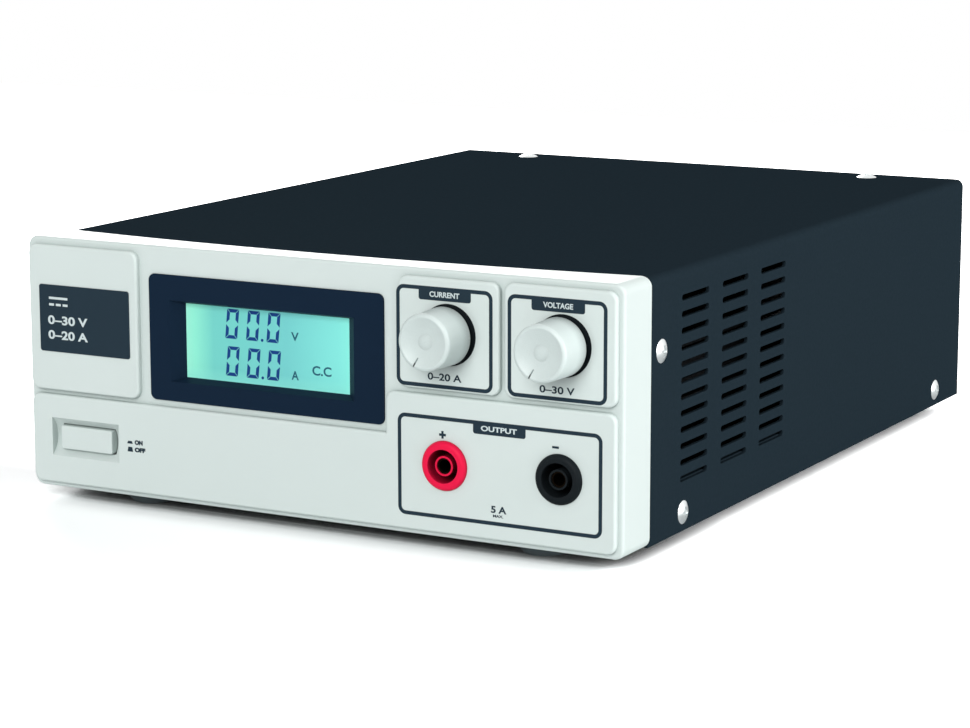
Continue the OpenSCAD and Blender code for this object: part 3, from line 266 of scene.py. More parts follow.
# %% Metals
def metal(name, colour, second, smooth, rough, size, stretch=(1, 1, 1), dent=0.0):
    """Metal whose roughness runs from smooth to rough over a pattern of that size (mm)."""
    material, tree, shader, place = new_finish(name, Metallic=1.0)
    stretched = add(tree, "Mapping", {"Vector": place, "Scale": stretch})
    marks = add(tree, "TexNoise", {
        "Vector": stretched.outputs["Vector"], "Scale": 1 / (size * MM), "Detail": 3.0})
    spread = add(tree, "MapRange", {
        "Value": marks.outputs["Fac"], "To Min": smooth, "To Max": rough})
    tint = add(tree, "MixRGB", {
        "Fac": marks.outputs["Fac"], "Color1": linear(colour), "Color2": linear(second)})
    tree.links.new(spread.outputs["Result"], shader.inputs["Roughness"])
    tree.links.new(tint.outputs["Color"], shader.inputs["Base Color"])
    if dent:
        bump = add(tree, "Bump", {"Height": marks.outputs["Fac"], "Distance": dent * MM})
        tree.links.new(bump.outputs["Normal"], shader.inputs["Normal"])
    return material


# Zinc on the sheet-steel plates inside, with its wide crystals
finishes["zinc_steel"] = metal("zinc_plated_steel", "#B4BABD", "#C6CBCD", 0.28, 0.5, 5.0)
# Nickel on screws, nuts, shafts, rings, the fan's guard and the spring
finishes["nickel"] = metal("nickel_plate", "#E2E7E7", "#ECEFEF", 0.28, 0.38, 1.5)
# Tin on the potentiometers' cans
finishes["pot_case"] = metal("tinned_steel_can", "#9EA2A3", "#B0B3B3", 0.3, 0.45, 3.0)
# Brass of studs, pins and contacts, fresh from the lathe
finishes["brass"] = metal("turned_brass", "#C8A251", "#D6B366", 0.2, 0.34, 1.2)
# The same brass deep in a front socket, near black as painted shade for its throat
finishes["socket_sleeve"] = metal("brass_in_painted_throat_shade", "#120D09", "#1A130C", 0.5, 0.7, 1.2)
# Copper wire under clear enamel
finishes["copper"] = metal("enamelled_copper", "#B4663A", "#C67A4A", 0.2, 0.38, 2.0)
# Extruded aluminium, anodised black, with the lines of its die along Y
finishes["heatsink_aluminium"] = metal(
    "black_anodised_aluminium", "#1B1D20", "#24272A", 0.4, 0.6, 1.0, (1, 0.03, 1), 0.01)
print("finishes with the metals:", len(finishes))

# %% [markdown]
# ## Two finishes in one piece
#
# Some solids carry two materials that meet at a known plane: a can's sleeve stops short of
# its bare top, a transistor's legs leave the epoxy, leads of two colours lie side by
# side. A coordinate compared with that plane gives a mask of 0 or 1, which mixes the
# colour and the metal.

# %% Finishes that change at a plane
FINE_GRAIN, FINE_DEPTH = 0.6, 0.008  # mm


def two_part(name, first, second, axis, at, metal_side=None, roughness=0.4):
    """The first colour below a plane (mm) across the axis, the second above it."""
    material, tree, shader, place = new_finish(name, Roughness=roughness)
    axes = add(tree, "SeparateXYZ", {"Vector": place})
    side = add(tree, "Math", {0: axes.outputs[axis], 1: at * MM}, operation="GREATER_THAN")
    grain = add(tree, "TexNoise", {
        "Vector": place, "Scale": 1 / (FINE_GRAIN * MM), "Detail": 2.0})
    tint = add(tree, "MixRGB", {
        "Fac": side.outputs[0], "Color1": linear(first), "Color2": linear(second)})
    bump = add(tree, "Bump", {"Height": grain.outputs["Fac"], "Distance": FINE_DEPTH * MM})
    tree.links.new(tint.outputs["Color"], shader.inputs["Base Color"])
    tree.links.new(bump.outputs["Normal"], shader.inputs["Normal"])
    if metal_side == "above":
        tree.links.new(side.outputs[0], shader.inputs["Metallic"])
    if metal_side == "below":
        flip = add(tree, "Math", {0: 1.0, 1: side.outputs[0]}, operation="SUBTRACT")
        tree.links.new(flip.outputs[0], shader.inputs["Metallic"])
    return material


CAN_SLEEVE = 44.6  # mm of a can's height that its sleeve covers
CHIP_LEGS = 2.0  # mm of leg below the epoxy
TAPE_START = 12  # mm up the winding
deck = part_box("main_board")[1].z / MM
posts = [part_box(name) for name in ("red_clamp_ring", "black_clamp_ring")]
between_posts = (posts[0][1].x + posts[1][0].x) / 2 / MM
# Nylon bases of the posts: red round the plus post, black round the minus post
finishes["post_base_plastic"] = two_part(
    "post_base_nylon", "#D8133A", "#131618", "X", between_posts)
# Shrunk PVC sleeve over an aluminium can that is bare on top
finishes["capacitor_sleeve"] = two_part(
    "sleeved_can", "#1C2A44", "#B9BDBF", "Z", deck + CAN_SLEEVE, "above", 0.35)
# Matt epoxy of transistors and chips over tinned legs
finishes["chip_resin"] = two_part(
    "epoxy_and_tinned_legs", "#B9BDBF", "#1A1C1E", "Z", deck + CHIP_LEGS, "below", 0.5)
# Yellow polyester tape over the dark flange of the bobbin
finishes["winding_tape"] = two_part(
    "polyester_tape", "#20262A", "#D2A42E", "Z",
    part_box("transformer_winding")[0].z / MM + TAPE_START)
print("deck", round(deck, 2), "between posts", round(between_posts, 2))

# %% [markdown]
# ## Circuit boards
#
# Green solder mask over copper: the tracks show as slightly lighter, raised lines under
# the lacquer. A brick pattern, turned by 45 degrees, gives straight tracks between its
# bricks, and a cell pattern sets tinned solder pads among them.

# %% Circuit boards
TRACK_LONG, TRACK_STEP, TRACK_WIDE, TRACK_HIGH = 9, 2.4, 0.6, 0.05  # mm
PAD_STEP, PAD_SHARE = 7, 0.12  # mm between solder pads, and a pad's part of that

# Epoxy solder mask over glass fibre board, glossy and green
material, tree, shader, place = new_finish("solder_mask", Roughness=0.3)
slanted = add(tree, "Mapping", {"Vector": place, "Rotation": (0.0, 0.0, math.pi / 4)})
tracks = add(tree, "TexBrick", {
    "Vector": slanted.outputs["Vector"], "Scale": 1.0, "Mortar Size": TRACK_WIDE * MM,
    "Brick Width": TRACK_LONG * MM, "Row Height": TRACK_STEP * MM, "Mortar Smooth": 0.1})
spots = add(tree, "TexVoronoi", {"Vector": place, "Scale": 1 / (PAD_STEP * MM)})
pads = add(tree, "Math", {
    0: spots.outputs["Distance"], 1: PAD_SHARE}, operation="LESS_THAN")
mask = add(tree, "MixRGB", {
    "Fac": tracks.outputs["Fac"], "Color1": linear("#1C6A45"), "Color2": linear("#124D32")})
tinned = add(tree, "MixRGB", {
    "Fac": pads.outputs[0], "Color1": mask.outputs["Color"], "Color2": linear("#C2C5C0")})
raised = add(tree, "Bump", {
    "Height": tracks.outputs["Fac"], "Distance": -TRACK_HIGH * MM})
tree.links.new(tinned.outputs["Color"], shader.inputs["Base Color"])
tree.links.new(raised.outputs["Normal"], shader.inputs["Normal"])
finishes["circuit_board"] = material
print("tracks", TRACK_LONG, "mm long,", TRACK_STEP, "mm apart")

# %% [markdown]
# ## The display
#
# A liquid crystal display with an edge-lit guide behind it. The lamp sits at the left, so
# that edge is brightest and greenest, and the glow evens out to cyan. A second, narrow
# band of light runs along the lower edge. The light is made partly by the panel's own
# colour and partly by a weak emission of the same colour, so the panel glows in shade and
# still answers to the room.

# %% Display panel
RIM = 2.5  # mm of the panel that the frame hides
LOW_GLOW = 4  # mm that the band at the lower edge takes to fade
GLOW_STOPS = (
    (0.0, "#93E4CB"), (0.05, "#88E1C8"), (0.17, "#6CC5BC"), (0.62, "#6DC2C0"),
    (0.93, "#7CDAD1"), (1.0, "#83E3D6"))

screen = [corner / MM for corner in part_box("display_glass")]
screen_left, screen_right = screen[0].x + RIM, screen[1].x - RIM
screen_low = screen[0].z + RIM
# Liquid crystal between two glass plates, under a polarising film
material, tree, shader, place = new_finish(
    "liquid_crystal_panel", Roughness=0.16, Specular_IOR_Level=0.25,
    Emission_Strength=0.22)
axes = add(tree, "SeparateXYZ", {"Vector": place})
across = add(tree, "MapRange", {
    "Value": axes.outputs["X"], "From Min": screen_left * MM, "From Max": screen_right * MM})
glow = add(tree, "ValToRGB", {"Fac": across.outputs["Result"]})
for at, colour in GLOW_STOPS[1:-1]:
    glow.color_ramp.elements.new(at)
for stop, (at, colour) in zip(glow.color_ramp.elements, GLOW_STOPS):
    stop.position = at
    stop.color = linear(colour)
down = add(tree, "MapRange", {
    "Value": axes.outputs["Z"], "From Min": screen_low * MM,
    "From Max": (screen_low + LOW_GLOW) * MM, "To Min": 0.5, "To Max": 0.0})
panel = add(tree, "MixRGB", {
    "Fac": down.outputs["Result"], "Color1": glow.outputs["Color"],
    "Color2": linear("#8CE8D9")})
tree.links.new(panel.outputs["Color"], shader.inputs["Base Color"])
tree.links.new(panel.outputs["Color"], shader.inputs["Emission Color"])
finishes["display_glass"] = material
print("screen from", round(screen_left, 1), "to", round(screen_right, 1))

# %% [markdown]
# The light guide behind it is a slab of clear acrylic with a white back, and the fuse is
# a glass tube with a metal cap at each end.

# %% Light guide and fuse
# Acrylic, milky from the white sheet behind it
finishes["light_guide"] = moulded(
    "acrylic_light_guide", "#E4F0EC", "#DCEAE6", 0.12, 1.0, 0.002, Transmission_Weight=0.35)

# Glass of the fuse between its nickel-plated caps
HALF_GLASS = 4  # mm from the middle to a cap
fuse_box = [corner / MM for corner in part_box("fuse")]
fuse_middle = (fuse_box[0].x + fuse_box[1].x) / 2
material, tree, shader, place = new_finish("glass_and_caps", Roughness=0.12)
axes = add(tree, "SeparateXYZ", {"Vector": place})
along = add(tree, "Math", {0: axes.outputs["X"], 1: fuse_middle * MM}, operation="SUBTRACT")
away = add(tree, "Math", {0: along.outputs[0]}, operation="ABSOLUTE")
cap = add(tree, "Math", {0: away.outputs[0], 1: HALF_GLASS * MM}, operation="GREATER_THAN")
clear = add(tree, "Math", {0: 1.0, 1: cap.outputs[0]}, operation="SUBTRACT")
tint = add(tree, "MixRGB", {
    "Fac": cap.outputs[0], "Color1": linear("#E6ECEC"), "Color2": linear("#C9CBC8")})
tree.links.new(tint.outputs["Color"], shader.inputs["Base Color"])
tree.links.new(cap.outputs[0], shader.inputs["Metallic"])
tree.links.new(clear.outputs[0], shader.inputs["Transmission Weight"])
finishes["fuse_glass"] = material
print("fuse glass", 2 * HALF_GLASS, "mm between its caps")

# %% [markdown]
# The leads are PVC insulated. Colours follow use: red and black to the sockets, brown and
# blue to the mains inlet. Each lead lies in its own strip across the width, so the strips
# pick the colour.

# %% Leads
sockets = [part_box(name) for name in ("red_socket", "black_socket")]
between_sockets = (sockets[0][1].x + sockets[1][0].x) / 2 / MM
LEAD_GRAIN, LEAD_DEPTH = 0.8, 0.01  # mm
# Where each strip starts along X (mm): brown, blue, red and black
lead_strips = [(-200, "#7A4A2A"), (-84, "#2F5FAE"), (-60, "#D8133A"),
               (between_sockets, "#17191B")]
# Soft PVC, extruded round the strands
material, tree, shader, place = new_finish("pvc_insulation", Roughness=0.38)
axes = add(tree, "SeparateXYZ", {"Vector": place})
colour = linear(lead_strips[0][1])
for start, code in lead_strips[1:]:
    past = add(tree, "Math", {0: axes.outputs["X"], 1: start * MM}, operation="GREATER_THAN")
    strip = add(tree, "MixRGB", {
        "Fac": past.outputs[0], "Color1": colour, "Color2": linear(code)})
    colour = strip.outputs["Color"]
skin = add(tree, "TexNoise", {"Vector": place, "Scale": 1 / (LEAD_GRAIN * MM)})
bump = add(tree, "Bump", {"Height": skin.outputs["Fac"], "Distance": LEAD_DEPTH * MM})
tree.links.new(colour, shader.inputs["Base Color"])
tree.links.new(bump.outputs["Normal"], shader.inputs["Normal"])
finishes["lead_sleeve"] = material
print("finishes:", len(finishes))

# %% [markdown]
# ## Dress the solids
#
# The imported record names a finish for each solid. A solid's mesh is never touched: only
# the material in its slot changes. Two solids look unlike the rest of their slot. The
# sleeves of the front sockets take a near-black brass, painted shade as deep as that of the
# throats they sit in, and the tray is painted with the cover, since its edge shows under it.

# %% Materials on the solids
for part in frame["record"]["subparts"]:
    solid = frame["nodes"][part["node"]]
    solid.data.materials.clear()
    solid.data.materials.append(finishes[part["material_slot"]])
# Painted shade: the sleeves' near-black brass stands for the shade in the sockets' throats
frame["nodes"]["socket_contacts"].data.materials[0] = finishes["socket_sleeve"]
frame["nodes"]["base_tray"].data.materials[0] = finishes["coat_steel"]

# %% [markdown]
# ## The return spring
#
# Pressing the button shortens the spring behind it, and a solid only moves as a whole. A
# copy of the spring takes the solid's place, with its transform applied to its mesh, and
# the solid itself is hidden.

# %% Return spring
solid = frame["nodes"]["button_spring"]
spring = bpy.data.objects.new("return_spring", solid.data.copy())
spring.matrix_world = solid.matrix_world
bpy.context.scene.collection.objects.link(spring)
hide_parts("button_spring")
low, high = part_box("button_spring")
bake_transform(spring)
print("spring", round((high.y - low.y) / MM, 1), "mm long")

# %% [markdown]
# ## Inks
#
# The front is pad printed. Printing ink dries satin, a shade flatter than the plastic
# under it, and its edges are crisp. Ink is modelled as a film a few hundredths of a
# millimetre thick, so it is a real piece that can be seen and picked up by itself.

# %% Inks
FILM = 0.05  # mm, an ink film's thickness
SPECK_SIZE, SPECK = 0.3, 0.94  # mm, and the light that a speck keeps


def ink(name, colour, roughness=0.55):
    """Ink of that colour with fine, slightly darker specks where the film is thicker."""
    material, tree, shader, place = new_finish(
        name, Roughness=roughness, Specular_IOR_Level=0.1)
    darker = [channel * SPECK for channel in linear(colour)[:3]] + [1]
    speck = add(tree, "TexNoise", {
        "Vector": place, "Scale": 1 / (SPECK_SIZE * MM), "Detail": 2.0})
    tint = add(tree, "MixRGB", {
        "Fac": speck.outputs["Fac"], "Color1": linear(colour), "Color2": darker})
    tree.links.new(tint.outputs["Color"], shader.inputs["Base Color"])
    return material


# Two-part pad printing inks: slate for lines and words, pale on dark ground, grey on knobs
slate_ink = ink("slate_pad_ink", "#24343F")
pale_ink = ink("pale_pad_ink", "#D3DFE0")
line_ink = ink("grey_pad_ink", "#8C9A99")
# Liquid crystal where it is switched dark: blue segments, and thinner, greener signs
segment_ink = ink("display_segments", "#1B4386", 0.3)
sign_ink = ink("display_signs", "#2E6678", 0.3)
print("film", FILM, "mm")

# %% [markdown]
# ## Flat shapes
#
# Borders, tabs and plates all start the same way: a one-face grid scaled to size, corner
# vertices bevelled to round them, then solidify for the film. A border also has its face
# inset by the line's width and the inner face deleted. `settle` turns the flat shape
# upright, moves it to its place and names what carries it. Sizes are in millimetres until
# then, so the numbers read like those of a drawing.

# %% Flat shape helpers
def settle(bm, name, x, y, z, material, slot="white_abs", body="case", facing="front"):
    """Makes a piece of a flat shape drawn in X and Y, and stands it up at x, y, z (mm).

    The body carries it; the slot argument is not used.
    """
    turn = Matrix.Rotation(math.pi / 2, 4, "X")
    if facing == "back":
        turn = Matrix.Rotation(math.pi, 4, "Z") @ turn
    bmesh.ops.transform(bm, matrix=turn, verts=bm.verts)
    bmesh.ops.scale(bm, vec=(MM, MM, MM), verts=bm.verts)
    bmesh.ops.translate(bm, vec=Vector((x, y, z)) * MM, verts=bm.verts)
    bmesh.ops.recalc_face_normals(bm, faces=bm.faces)
    mesh = bpy.data.meshes.new(name)
    bm.to_mesh(mesh)
    bm.free()
    mesh.materials.append(material)
    piece = bpy.data.objects.new(name, mesh)
    bpy.context.scene.collection.objects.link(piece)
    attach(piece, body)
    return piece


def sheet_shape(width, height, radius, top_too=True, line=None, film=FILM):
    """A rounded rectangle round the origin; with a line, only its border of that width.

    Without top_too only the two lower corners are rounded.
    """
    bm = bmesh.new()
    bmesh.ops.create_grid(bm, x_segments=1, y_segments=1, size=0.5)
    bmesh.ops.scale(bm, vec=(width, height, 1), verts=bm.verts)
    corners = [v for v in bm.verts if top_too or v.co.y < 0]
    bmesh.ops.bevel(bm, geom=corners, offset=radius, offset_type="OFFSET",
                    affect="VERTICES", segments=8, profile=0.5, material=-1)
    if line:
        inner = bm.faces[:]
        bmesh.ops.inset_region(
            bm, faces=inner, thickness=line, use_boundary=True, use_even_offset=True)
        bmesh.ops.delete(bm, geom=inner, context="FACES")
    bmesh.ops.solidify(bm, geom=bm.faces[:], thickness=-film)
    return bm


# %% [markdown]
# Lettering starts as Blender's own text curve. `offset` fattens the thin built-in face to
# the bold of the photograph. The text becomes a mesh while it still lies flat, is scaled
# to the height and width measured on the front, and only then takes its place. The curve's
# own depth is only there to be scaled to the film's.

# %% Lettering helper
CURVE_DEPTH, WELD = 0.02, 0.0001  # in the curve's own units


def lettering(name, words, width, height, x, y, z, material, bold=0.0, **carried):
    """Words of one film's thickness fitted to width and height and centred on x, y, z (mm)."""
    curve = bpy.data.curves.new(name, "FONT")
    curve.body = words
    curve.extrude = CURVE_DEPTH
    curve.offset = bold
    text = bpy.data.objects.new(name, curve)
    bpy.context.scene.collection.objects.link(text)
    bpy.context.view_layer.update()
    bm = bmesh.new()
    bm.from_mesh(text.to_mesh())
    text.to_mesh_clear()
    bpy.data.objects.remove(text)
    bpy.data.curves.remove(curve)
    bmesh.ops.remove_doubles(bm, verts=bm.verts, dist=WELD)
    low = Vector(min(v.co[i] for v in bm.verts) for i in range(3))
    high = Vector(max(v.co[i] for v in bm.verts) for i in range(3))
    span = high - low
    bmesh.ops.translate(bm, vec=-(low + high) / 2, verts=bm.verts)
    bmesh.ops.scale(
        bm, vec=(width / span.x, height / span.y, FILM / span.z), verts=bm.verts)
    return settle(bm, name, x, y, z, material, **carried)


# %% [markdown]
# ## Print on the front
#
# Each control group has a line round it with a dark tab at its top, in which the group's
# name is left pale. The sizes were measured on the photograph and are given from the
# middle of the front and from the cover's lower edge, all in millimetres.

# %% Borders and tabs
LINE = 1.22  # mm wide
BORDER_ROUND, TAB_ROUND = 2.7, 0.8  # mm, the corners' radii
TAB_FILM, WORD_FILM = 1.4, 1.5  # in films: a tab covers its border, a word covers the tab
PALE_BOLD = 0.03
# Left, low, right and high edge of each line
borders = {
    "current": (32.9, 48.1, 67.1, 80.0),
    "voltage": (72.35, 48.1, 106.35, 79.85),
    "output": (33.15, 6.6, 104.95, 39.25),
}
for group, (x0, z0, x1, z1) in borders.items():
    shape = sheet_shape(x1 - x0, z1 - z0, BORDER_ROUND, line=LINE)
    settle(shape, group + "_border", (x0 + x1) / 2, front, edge + (z0 + z1) / 2, slate_ink)

# The same for each tab, and then left, right, low and high for its word
tabs = {
    "current": (41.0, 75.7, 59.5, 80.0, 44.9, 55.5, 76.75, 78.5),
    "voltage": (80.6, 75.5, 98.8, 79.85, 84.6, 94.8, 76.6, 78.35),
    "output": (60.2, 35.1, 78.6, 39.25, 63.0, 75.6, 36.15, 37.85),
}
for group, (x0, z0, x1, z1, left, right, low, high) in tabs.items():
    shape = sheet_shape(x1 - x0, z1 - z0, TAB_ROUND, top_too=False, film=FILM * TAB_FILM)
    settle(shape, group + "_tab", (x0 + x1) / 2, front, edge + (z0 + z1) / 2, slate_ink)
    lettering(group + "_word", group.upper(), right - left, high - low, (left + right) / 2,
              front - FILM * WORD_FILM, edge + (low + high) / 2, pale_ink, bold=PALE_BOLD)
print("borders:", sorted(borders))

# %% [markdown]
# The ranges under the knobs, the signs at the sockets and the highest current are printed
# straight on the pads.

# %% Words on the pads
# Name, words, width and height, middle across and up, boldness
marks = [
    ("current_range", "0\u201320 A", 12.0, 2.3, 50.1, 51.75, 0.02),
    ("voltage_range", "0\u201330 V", 12.0, 2.3, 89.4, 51.4, 0.02),
    ("plus_sign", "+", 2.4, 2.4, 49.3, 33.5, 0.05),
    ("minus_sign", "-", 2.3, 0.7, 88.95, 33.6, 0.05),
    ("highest_current", "5 A", 5.4, 2.25, 69.2, 11.7, 0.03),
    ("highest_word", "MAX.", 3.6, 0.85, 69.0, 9.65, 0.03),
    ("switch_on", "ON", 3.2, 1.6, -66.5, 19.0, 0.07),
    ("switch_off", "OFF", 4.3, 1.6, -66.0, 16.5, 0.07),
]
for name, words, width, height, x, z, bold in marks:
    lettering(name, words, width, height, x, front - FILM / 2, edge + z, slate_ink, bold)
print("words on the pads:", len(marks))

# %% [markdown]
# Beside the words ON and OFF stands the push button's state: pressed in, drawn as a flat
# button, and out, drawn as a tall one. Each is a small rectangle drawn in at its top.

# %% Marks of the switch
TOP_SHARE = 0.72  # of the mark's width, left at its top
MARK_ROUND = 0.12
# Name, middle across and up, width and height
switch_marks = [
    ("switch_in_mark", -70.0, 18.85, 2.2, 0.9),
    ("switch_out_mark", -69.95, 16.5, 2.2, 1.6),
]
for name, x, z, width, height in switch_marks:
    shape = sheet_shape(width, height, MARK_ROUND)
    for vertex in shape.verts:
        if vertex.co.y > 0:
            vertex.co.x *= TOP_SHARE
    settle(shape, name, x, front, edge + z, slate_ink)
print("marks of the switch:", len(switch_marks))

# %% [markdown]
# Each knob shows where it points with a fine printed line. It lies in the dish, on the
# slope next to the rim, in line with the groove that is moulded into the rim, and turns
# with the knob.

# %% Lines on the knobs
POINTS_TO, DISH_SLOPE = -24, -20  # degrees from straight down, and of the dish's slope
DISH_R, DISH_DEEP = 6.2, 0.57  # mm from the axis and behind the rim
KNOB_LINE = (0.3, 1.6, 0.1)  # mm, its width, length and corners
slope = Matrix.Rotation(math.radians(DISH_SLOPE), 4, "X")
round_axis = Matrix.Rotation(math.radians(POINTS_TO), 4, "Z")
in_dish = round_axis @ Matrix.Translation((0, -DISH_R, -DISH_DEEP)) @ slope
for body in ("current_knob", "voltage_knob"):
    low, high = (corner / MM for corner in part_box(body))
    shape = sheet_shape(*KNOB_LINE)
    bmesh.ops.transform(shape, matrix=in_dish, verts=shape.verts)
    settle(shape, body + "_line", (low.x + high.x) / 2, low.y, (low.z + high.z) / 2,
           line_ink, slot="knob_plastic", body=body)
print("lines point", -POINTS_TO, "degrees to the left of straight down")

# %% [markdown]
# ## The label plate
#
# A thin slate plate is let into the left pad. On it stand the sign for direct current, a
# line over a dashed line, and the two ranges in pale ink.

# %% Label plate
PLATE, LET_IN = 0.3, 0.1  # mm, its thickness and how much of that lies in the pad
PLATE_W, PLATE_H, PLATE_ROUND = 36.5, 22.6, 0.9
PLATE_X, PLATE_Z = -87.35, 58.15
STROKE, STROKE_ROUND = 0.8, 0.1  # the height and corners of the sign's line and dashes
SIGN_X, SIGN_W, SIGN_Z = -97.8, 7.6, 65.0
DASH_W, DASH_STEP, DASH_Z = 2.0, 2.8, 62.8
RANGE_X, RANGE_W, RANGE_H = -94.1, 16.2, 3.0

plate_y = front + LET_IN - PLATE
shape = sheet_shape(PLATE_W, PLATE_H, PLATE_ROUND, film=PLATE)
settle(shape, "label_plate", PLATE_X, front + LET_IN, edge + PLATE_Z, slate_ink)

shape = sheet_shape(SIGN_W, STROKE, STROKE_ROUND)
settle(shape, "direct_current_line", SIGN_X, plate_y, edge + SIGN_Z, pale_ink)
for number in (1, 2, 3):
    shape = sheet_shape(DASH_W, STROKE, STROKE_ROUND)
    settle(shape, f"direct_current_dash_{number}", SIGN_X + (number - 2) * DASH_STEP,
           plate_y, edge + DASH_Z, pale_ink)

for name, words, z in (
        ("plate_volts", "0\u201330 V", 57.6), ("plate_amperes", "0\u201320 A", 52.6)):
    lettering(name, words, RANGE_W, RANGE_H, RANGE_X, plate_y - FILM / 2, edge + z,
              pale_ink, PALE_BOLD)
print("plate", PLATE, "mm thick")

# %% [markdown]
# ## Segments of the display
#
# A zero of a seven-segment display is six bars round an empty middle. Each bar is a
# one-face grid. Its two inner corners are bevelled almost to the bar's width, so the bars
# meet in mitres with a slit between them. All bars of a row go into one mesh, and shear
# gives them the slight lean of the real ones.

# %% Digits
DIGIT_W, DIGIT_H, BAR = 4.6, 9.8, 1.15  # mm, a digit's width and height, a bar's width
LEAN = 0.10  # sideways per millimetre up
SLIT, WAIST = 0.2, 0.35  # between two bars at a corner, and above and below the middle
MITRE = 0.94  # of the bar's width
DOT_R, DOT_UP = 0.5, 0.45  # mm, the decimal point's radius and its middle's height
across_long, across_up = DIGIT_W - 2 * SLIT, (DIGIT_H - BAR) / 2
upright_long = DIGIT_H / 2 - SLIT - WAIST
upright_up = (DIGIT_H / 2 - SLIT + WAIST) / 2
# Length, turn in degrees, side and height of each bar's middle
ZERO_BARS = [(across_long, 0, 0, across_up), (across_long, 180, 0, -across_up)]
for turn, side in ((90, -1), (-90, 1)):
    ZERO_BARS += [(upright_long, turn, side, up) for up in (upright_up, -upright_up)]


def digit_row(name, centres, dot, z):
    """Three zeros with a decimal point, as one piece on the glass."""
    row = bmesh.new()
    for centre in centres:
        for length, turn, side, up in ZERO_BARS:
            others = set(row.verts)
            made = bmesh.ops.create_grid(row, x_segments=1, y_segments=1, size=0.5)["verts"]
            bmesh.ops.scale(row, vec=(length, BAR, 1), verts=made)
            bmesh.ops.bevel(
                row, geom=[v for v in made if v.co.y < 0], offset=BAR * MITRE,
                offset_type="OFFSET", affect="VERTICES", segments=1, profile=0.5, material=-1)
            bar = [v for v in row.verts if v not in others]
            spin = Matrix.Rotation(math.radians(turn), 3, "Z")
            bmesh.ops.rotate(row, matrix=spin, verts=bar)
            bmesh.ops.translate(row, vec=(side * (DIGIT_W - BAR) / 2, up, 0), verts=bar)
            for vertex in bar:
                vertex.co.x += LEAN * vertex.co.y + centre
    bmesh.ops.create_circle(
        row, cap_ends=True, radius=DOT_R, segments=16,
        matrix=Matrix.Translation((dot, DOT_UP - DIGIT_H / 2, 0)))
    bmesh.ops.solidify(row, geom=row.faces[:], thickness=-FILM)
    return settle(row, name, 0, glass, z, segment_ink, slot="display_glass")


DIGIT_CENTRES, DOT_CENTRE = (-32.15, -24.1, -16.25), -20.65  # mm along X
for name, z in (("volt_digits", 61.0), ("ampere_digits", 48.65)):
    digit_row(name, DIGIT_CENTRES, DOT_CENTRE, edge + z)

# Name, words, width and height, middle across and up
signs = [
    ("volt_sign", "V", 2.9, 2.8, -8.1, 58.8),
    ("ampere_sign", "A", 2.7, 2.9, -8.2, 46.1),
    ("constant_current_sign", "C.C", 7.2, 3.1, 1.95, 48.4),
]
for name, words, width, height, x, z in signs:
    lettering(name, words, width, height, x, glass - FILM / 2, edge + z, sign_ink, 0.02,
              slot="display_glass")
print("digit", DIGIT_W, "x", DIGIT_H, "mm")

# %% [markdown]
# ## The back
#
# The binding posts are marked like the front sockets, in pale ink on the dark coat.

# %% Marks on the back
SIGN_OVER_POST, REAR_SIGN, REAR_BOLD = 6, 4.0, 0.04
for name, words, post, height in (
        ("rear_plus", "+", posts[0], REAR_SIGN), ("rear_minus", "-", posts[1], 0.9)):
    x = (post[0].x + post[1].x) / 2 / MM
    z = post[1].z / MM + SIGN_OVER_POST
    lettering(name, words, REAR_SIGN, height, x, back + FILM / 2, z, pale_ink, REAR_BOLD,
              slot="coat_steel", facing="back")
print("signs", SIGN_OVER_POST, "mm over the posts")

# %% [markdown]
# ## The studio
#
# A product photograph is taken in a white sweep that is lit apart from the product. Here
# the world does that: the camera, mirror reflections and light through glass see pure
# white, while everything else is lit by a dim grey dome, which leaves the modelling to the
# lamps.

# %% World
DOME = 0.25  # strength of the dome, where white is 1
world = bpy.data.worlds.new("studio")
world.use_nodes = True
bpy.context.scene.world = world
tree = world.node_tree
ray = add(tree, "LightPath")
seen = add(tree, "Math", {
    0: ray.outputs["Is Camera Ray"], 1: ray.outputs["Is Glossy Ray"]}, operation="MAXIMUM")
seen_too = add(tree, "Math", {
    0: seen.outputs[0], 1: ray.outputs["Is Transmission Ray"]}, operation="MAXIMUM")
dome = add(tree, "Background", {"Color": linear("#F4F6F7"), "Strength": DOME})
white = add(tree, "Background", {"Color": linear("#FFFFFF"), "Strength": 1.0})
mix = add(tree, "MixShader", {
    0: seen_too.outputs[0], 1: dome.outputs[0], 2: white.outputs[0]})
tree.links.new(mix.outputs[0], tree.nodes["World Output"].inputs["Surface"])
print("dome strength", DOME)

# %% [markdown]
# The floor is one large sheet of matt white laminate, a hair below the feet. In the
# photograph it is burnt out to white except for a soft dark edge round the supply, so what
# the camera sees of it is made in two steps:
#
# - an occlusion node tells how open the sheet is within a few centimetres, and that is
#   painted into the colour as a dark edge, a painted shadow round the supply;
# - a gain above one lifts the rest to white. It is lower in the strip along the front,
#   where the photograph's shadow is widest, so the painted shadow is deeper there, and full
#   beside the case and further away.
#
# All other rays see a plain off-white, so the supply gets its light from below as usual.

# %% Floor
FLOOR_HALF, FLOOR_DROP = 1.1, 0.1 * MM  # in metres
EDGE_REACH = 40  # mm within which something counts as near
# The painted shadow is black below the first open share and ends in plain white at the second
EDGE_DARK, EDGE_CLEAR = 0.02, 0.2  # open share that gives black, and plain white
SIDE_NEAR, SIDE_FAR = 100, 112  # mm along X over which the right side begins
STRIP_BEFORE = 25  # mm from the front to the strip's middle
STRIP_NEAR, STRIP_FAR = 60, 110  # mm from that middle over which the strip ends
GAIN_STRIP, GAIN_ELSEWHERE = 1.45, 3.3  # times plain white

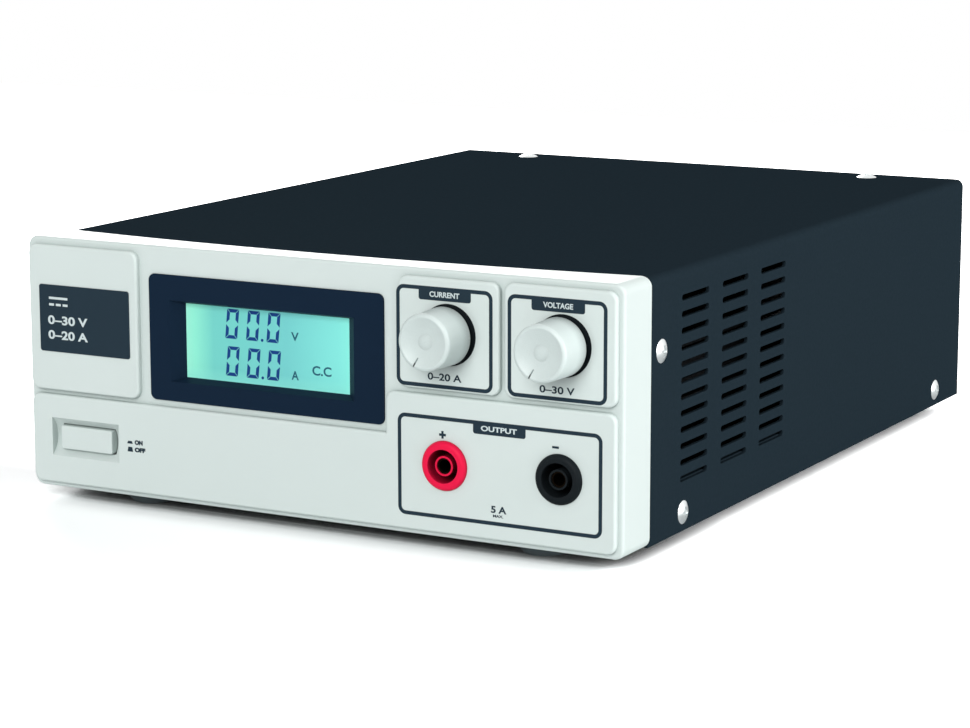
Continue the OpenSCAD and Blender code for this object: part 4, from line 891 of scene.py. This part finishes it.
bm = bmesh.new()
bmesh.ops.create_grid(bm, x_segments=1, y_segments=1, size=FLOOR_HALF)
bmesh.ops.translate(bm, vec=(0, 0, -FLOOR_DROP), verts=bm.verts)
floor_mesh = bpy.data.meshes.new("floor")
bm.to_mesh(floor_mesh)
bm.free()
floor = bpy.data.objects.new("floor", floor_mesh)
bpy.context.scene.collection.objects.link(floor)

# Laminate, white and matt; camera rays see it with a painted shadow round the supply
material = bpy.data.materials.new("white_laminate")
material.use_nodes = True
tree = material.node_tree
tree.nodes.clear()
# Painted shadow: occlusion within EDGE_REACH darkens what the camera sees of the floor
near = add(tree, "AmbientOcclusion", {"Distance": EDGE_REACH * MM})
open_floor = add(tree, "MapRange", {
    "Value": near.outputs["AO"], "From Min": EDGE_DARK, "From Max": EDGE_CLEAR})
axes = add(tree, "SeparateXYZ", {"Vector": add(tree, "TexCoord").outputs["Object"]})
beside = add(tree, "MapRange", {
    "Value": axes.outputs["X"], "From Min": SIDE_NEAR * MM, "From Max": SIDE_FAR * MM})
ahead = add(tree, "Math", {
    0: axes.outputs["Y"], 1: (front - STRIP_BEFORE) * MM}, operation="SUBTRACT")
distance = add(tree, "Math", {0: ahead.outputs[0]}, operation="ABSOLUTE")
away = add(tree, "MapRange", {
    "Value": distance.outputs[0], "From Min": STRIP_NEAR * MM, "From Max": STRIP_FAR * MM})
apart = add(tree, "Math", {
    0: beside.outputs["Result"], 1: away.outputs["Result"]}, operation="MAXIMUM")
gain = add(tree, "MapRange", {
    "Value": apart.outputs[0], "To Min": GAIN_STRIP, "To Max": GAIN_ELSEWHERE})
floor_painted_shadow = add(tree, "Math", {
    0: open_floor.outputs["Result"], 1: gain.outputs["Result"]}, operation="MULTIPLY")
camera_shadow_or_bounce = add(tree, "MixRGB", {
    "Fac": add(tree, "LightPath").outputs["Is Camera Ray"], "Color1": linear("#E4E7E8"),
    "Color2": floor_painted_shadow.outputs[0]})
matt = add(tree, "BsdfDiffuse", {"Color": camera_shadow_or_bounce.outputs["Color"]})
add(tree, "OutputMaterial", {"Surface": matt.outputs[0]})
floor_mesh.materials.append(material)
print("floor", 2 * FLOOR_HALF, "m wide")

# %% [markdown]
# Three soft boxes do the modelling: one low at the right, which makes the side of the bezel
# its brightest face, one high in front that fills the pads, and one behind at the left, so
# the back isn't black when the supply is looked at from there.

# %% Soft boxes
AIM = Vector((0, 0, 0.05))  # m, the middle of the supply


def soft_box(name, at, size, watts):
    """A square lamp of that size (m) at a place (m), turned to the middle of the supply."""
    data = bpy.data.lights.new(name, "AREA")
    data.shape = "SQUARE"
    data.size = size
    data.energy = watts
    lamp = bpy.data.objects.new(name, data)
    bpy.context.scene.collection.objects.link(lamp)
    lamp.location = at
    lamp.rotation_euler = (AIM - Vector(at)).to_track_quat("-Z", "Y").to_euler()


soft_box("side_box", (2.05, 0.1, 0.55), 1.1, 34)
soft_box("front_box", (0.4, -2.05, 0.95), 1.0, 31)
soft_box("back_box", (-1.5, 1.8, 0.9), 1.2, 40)
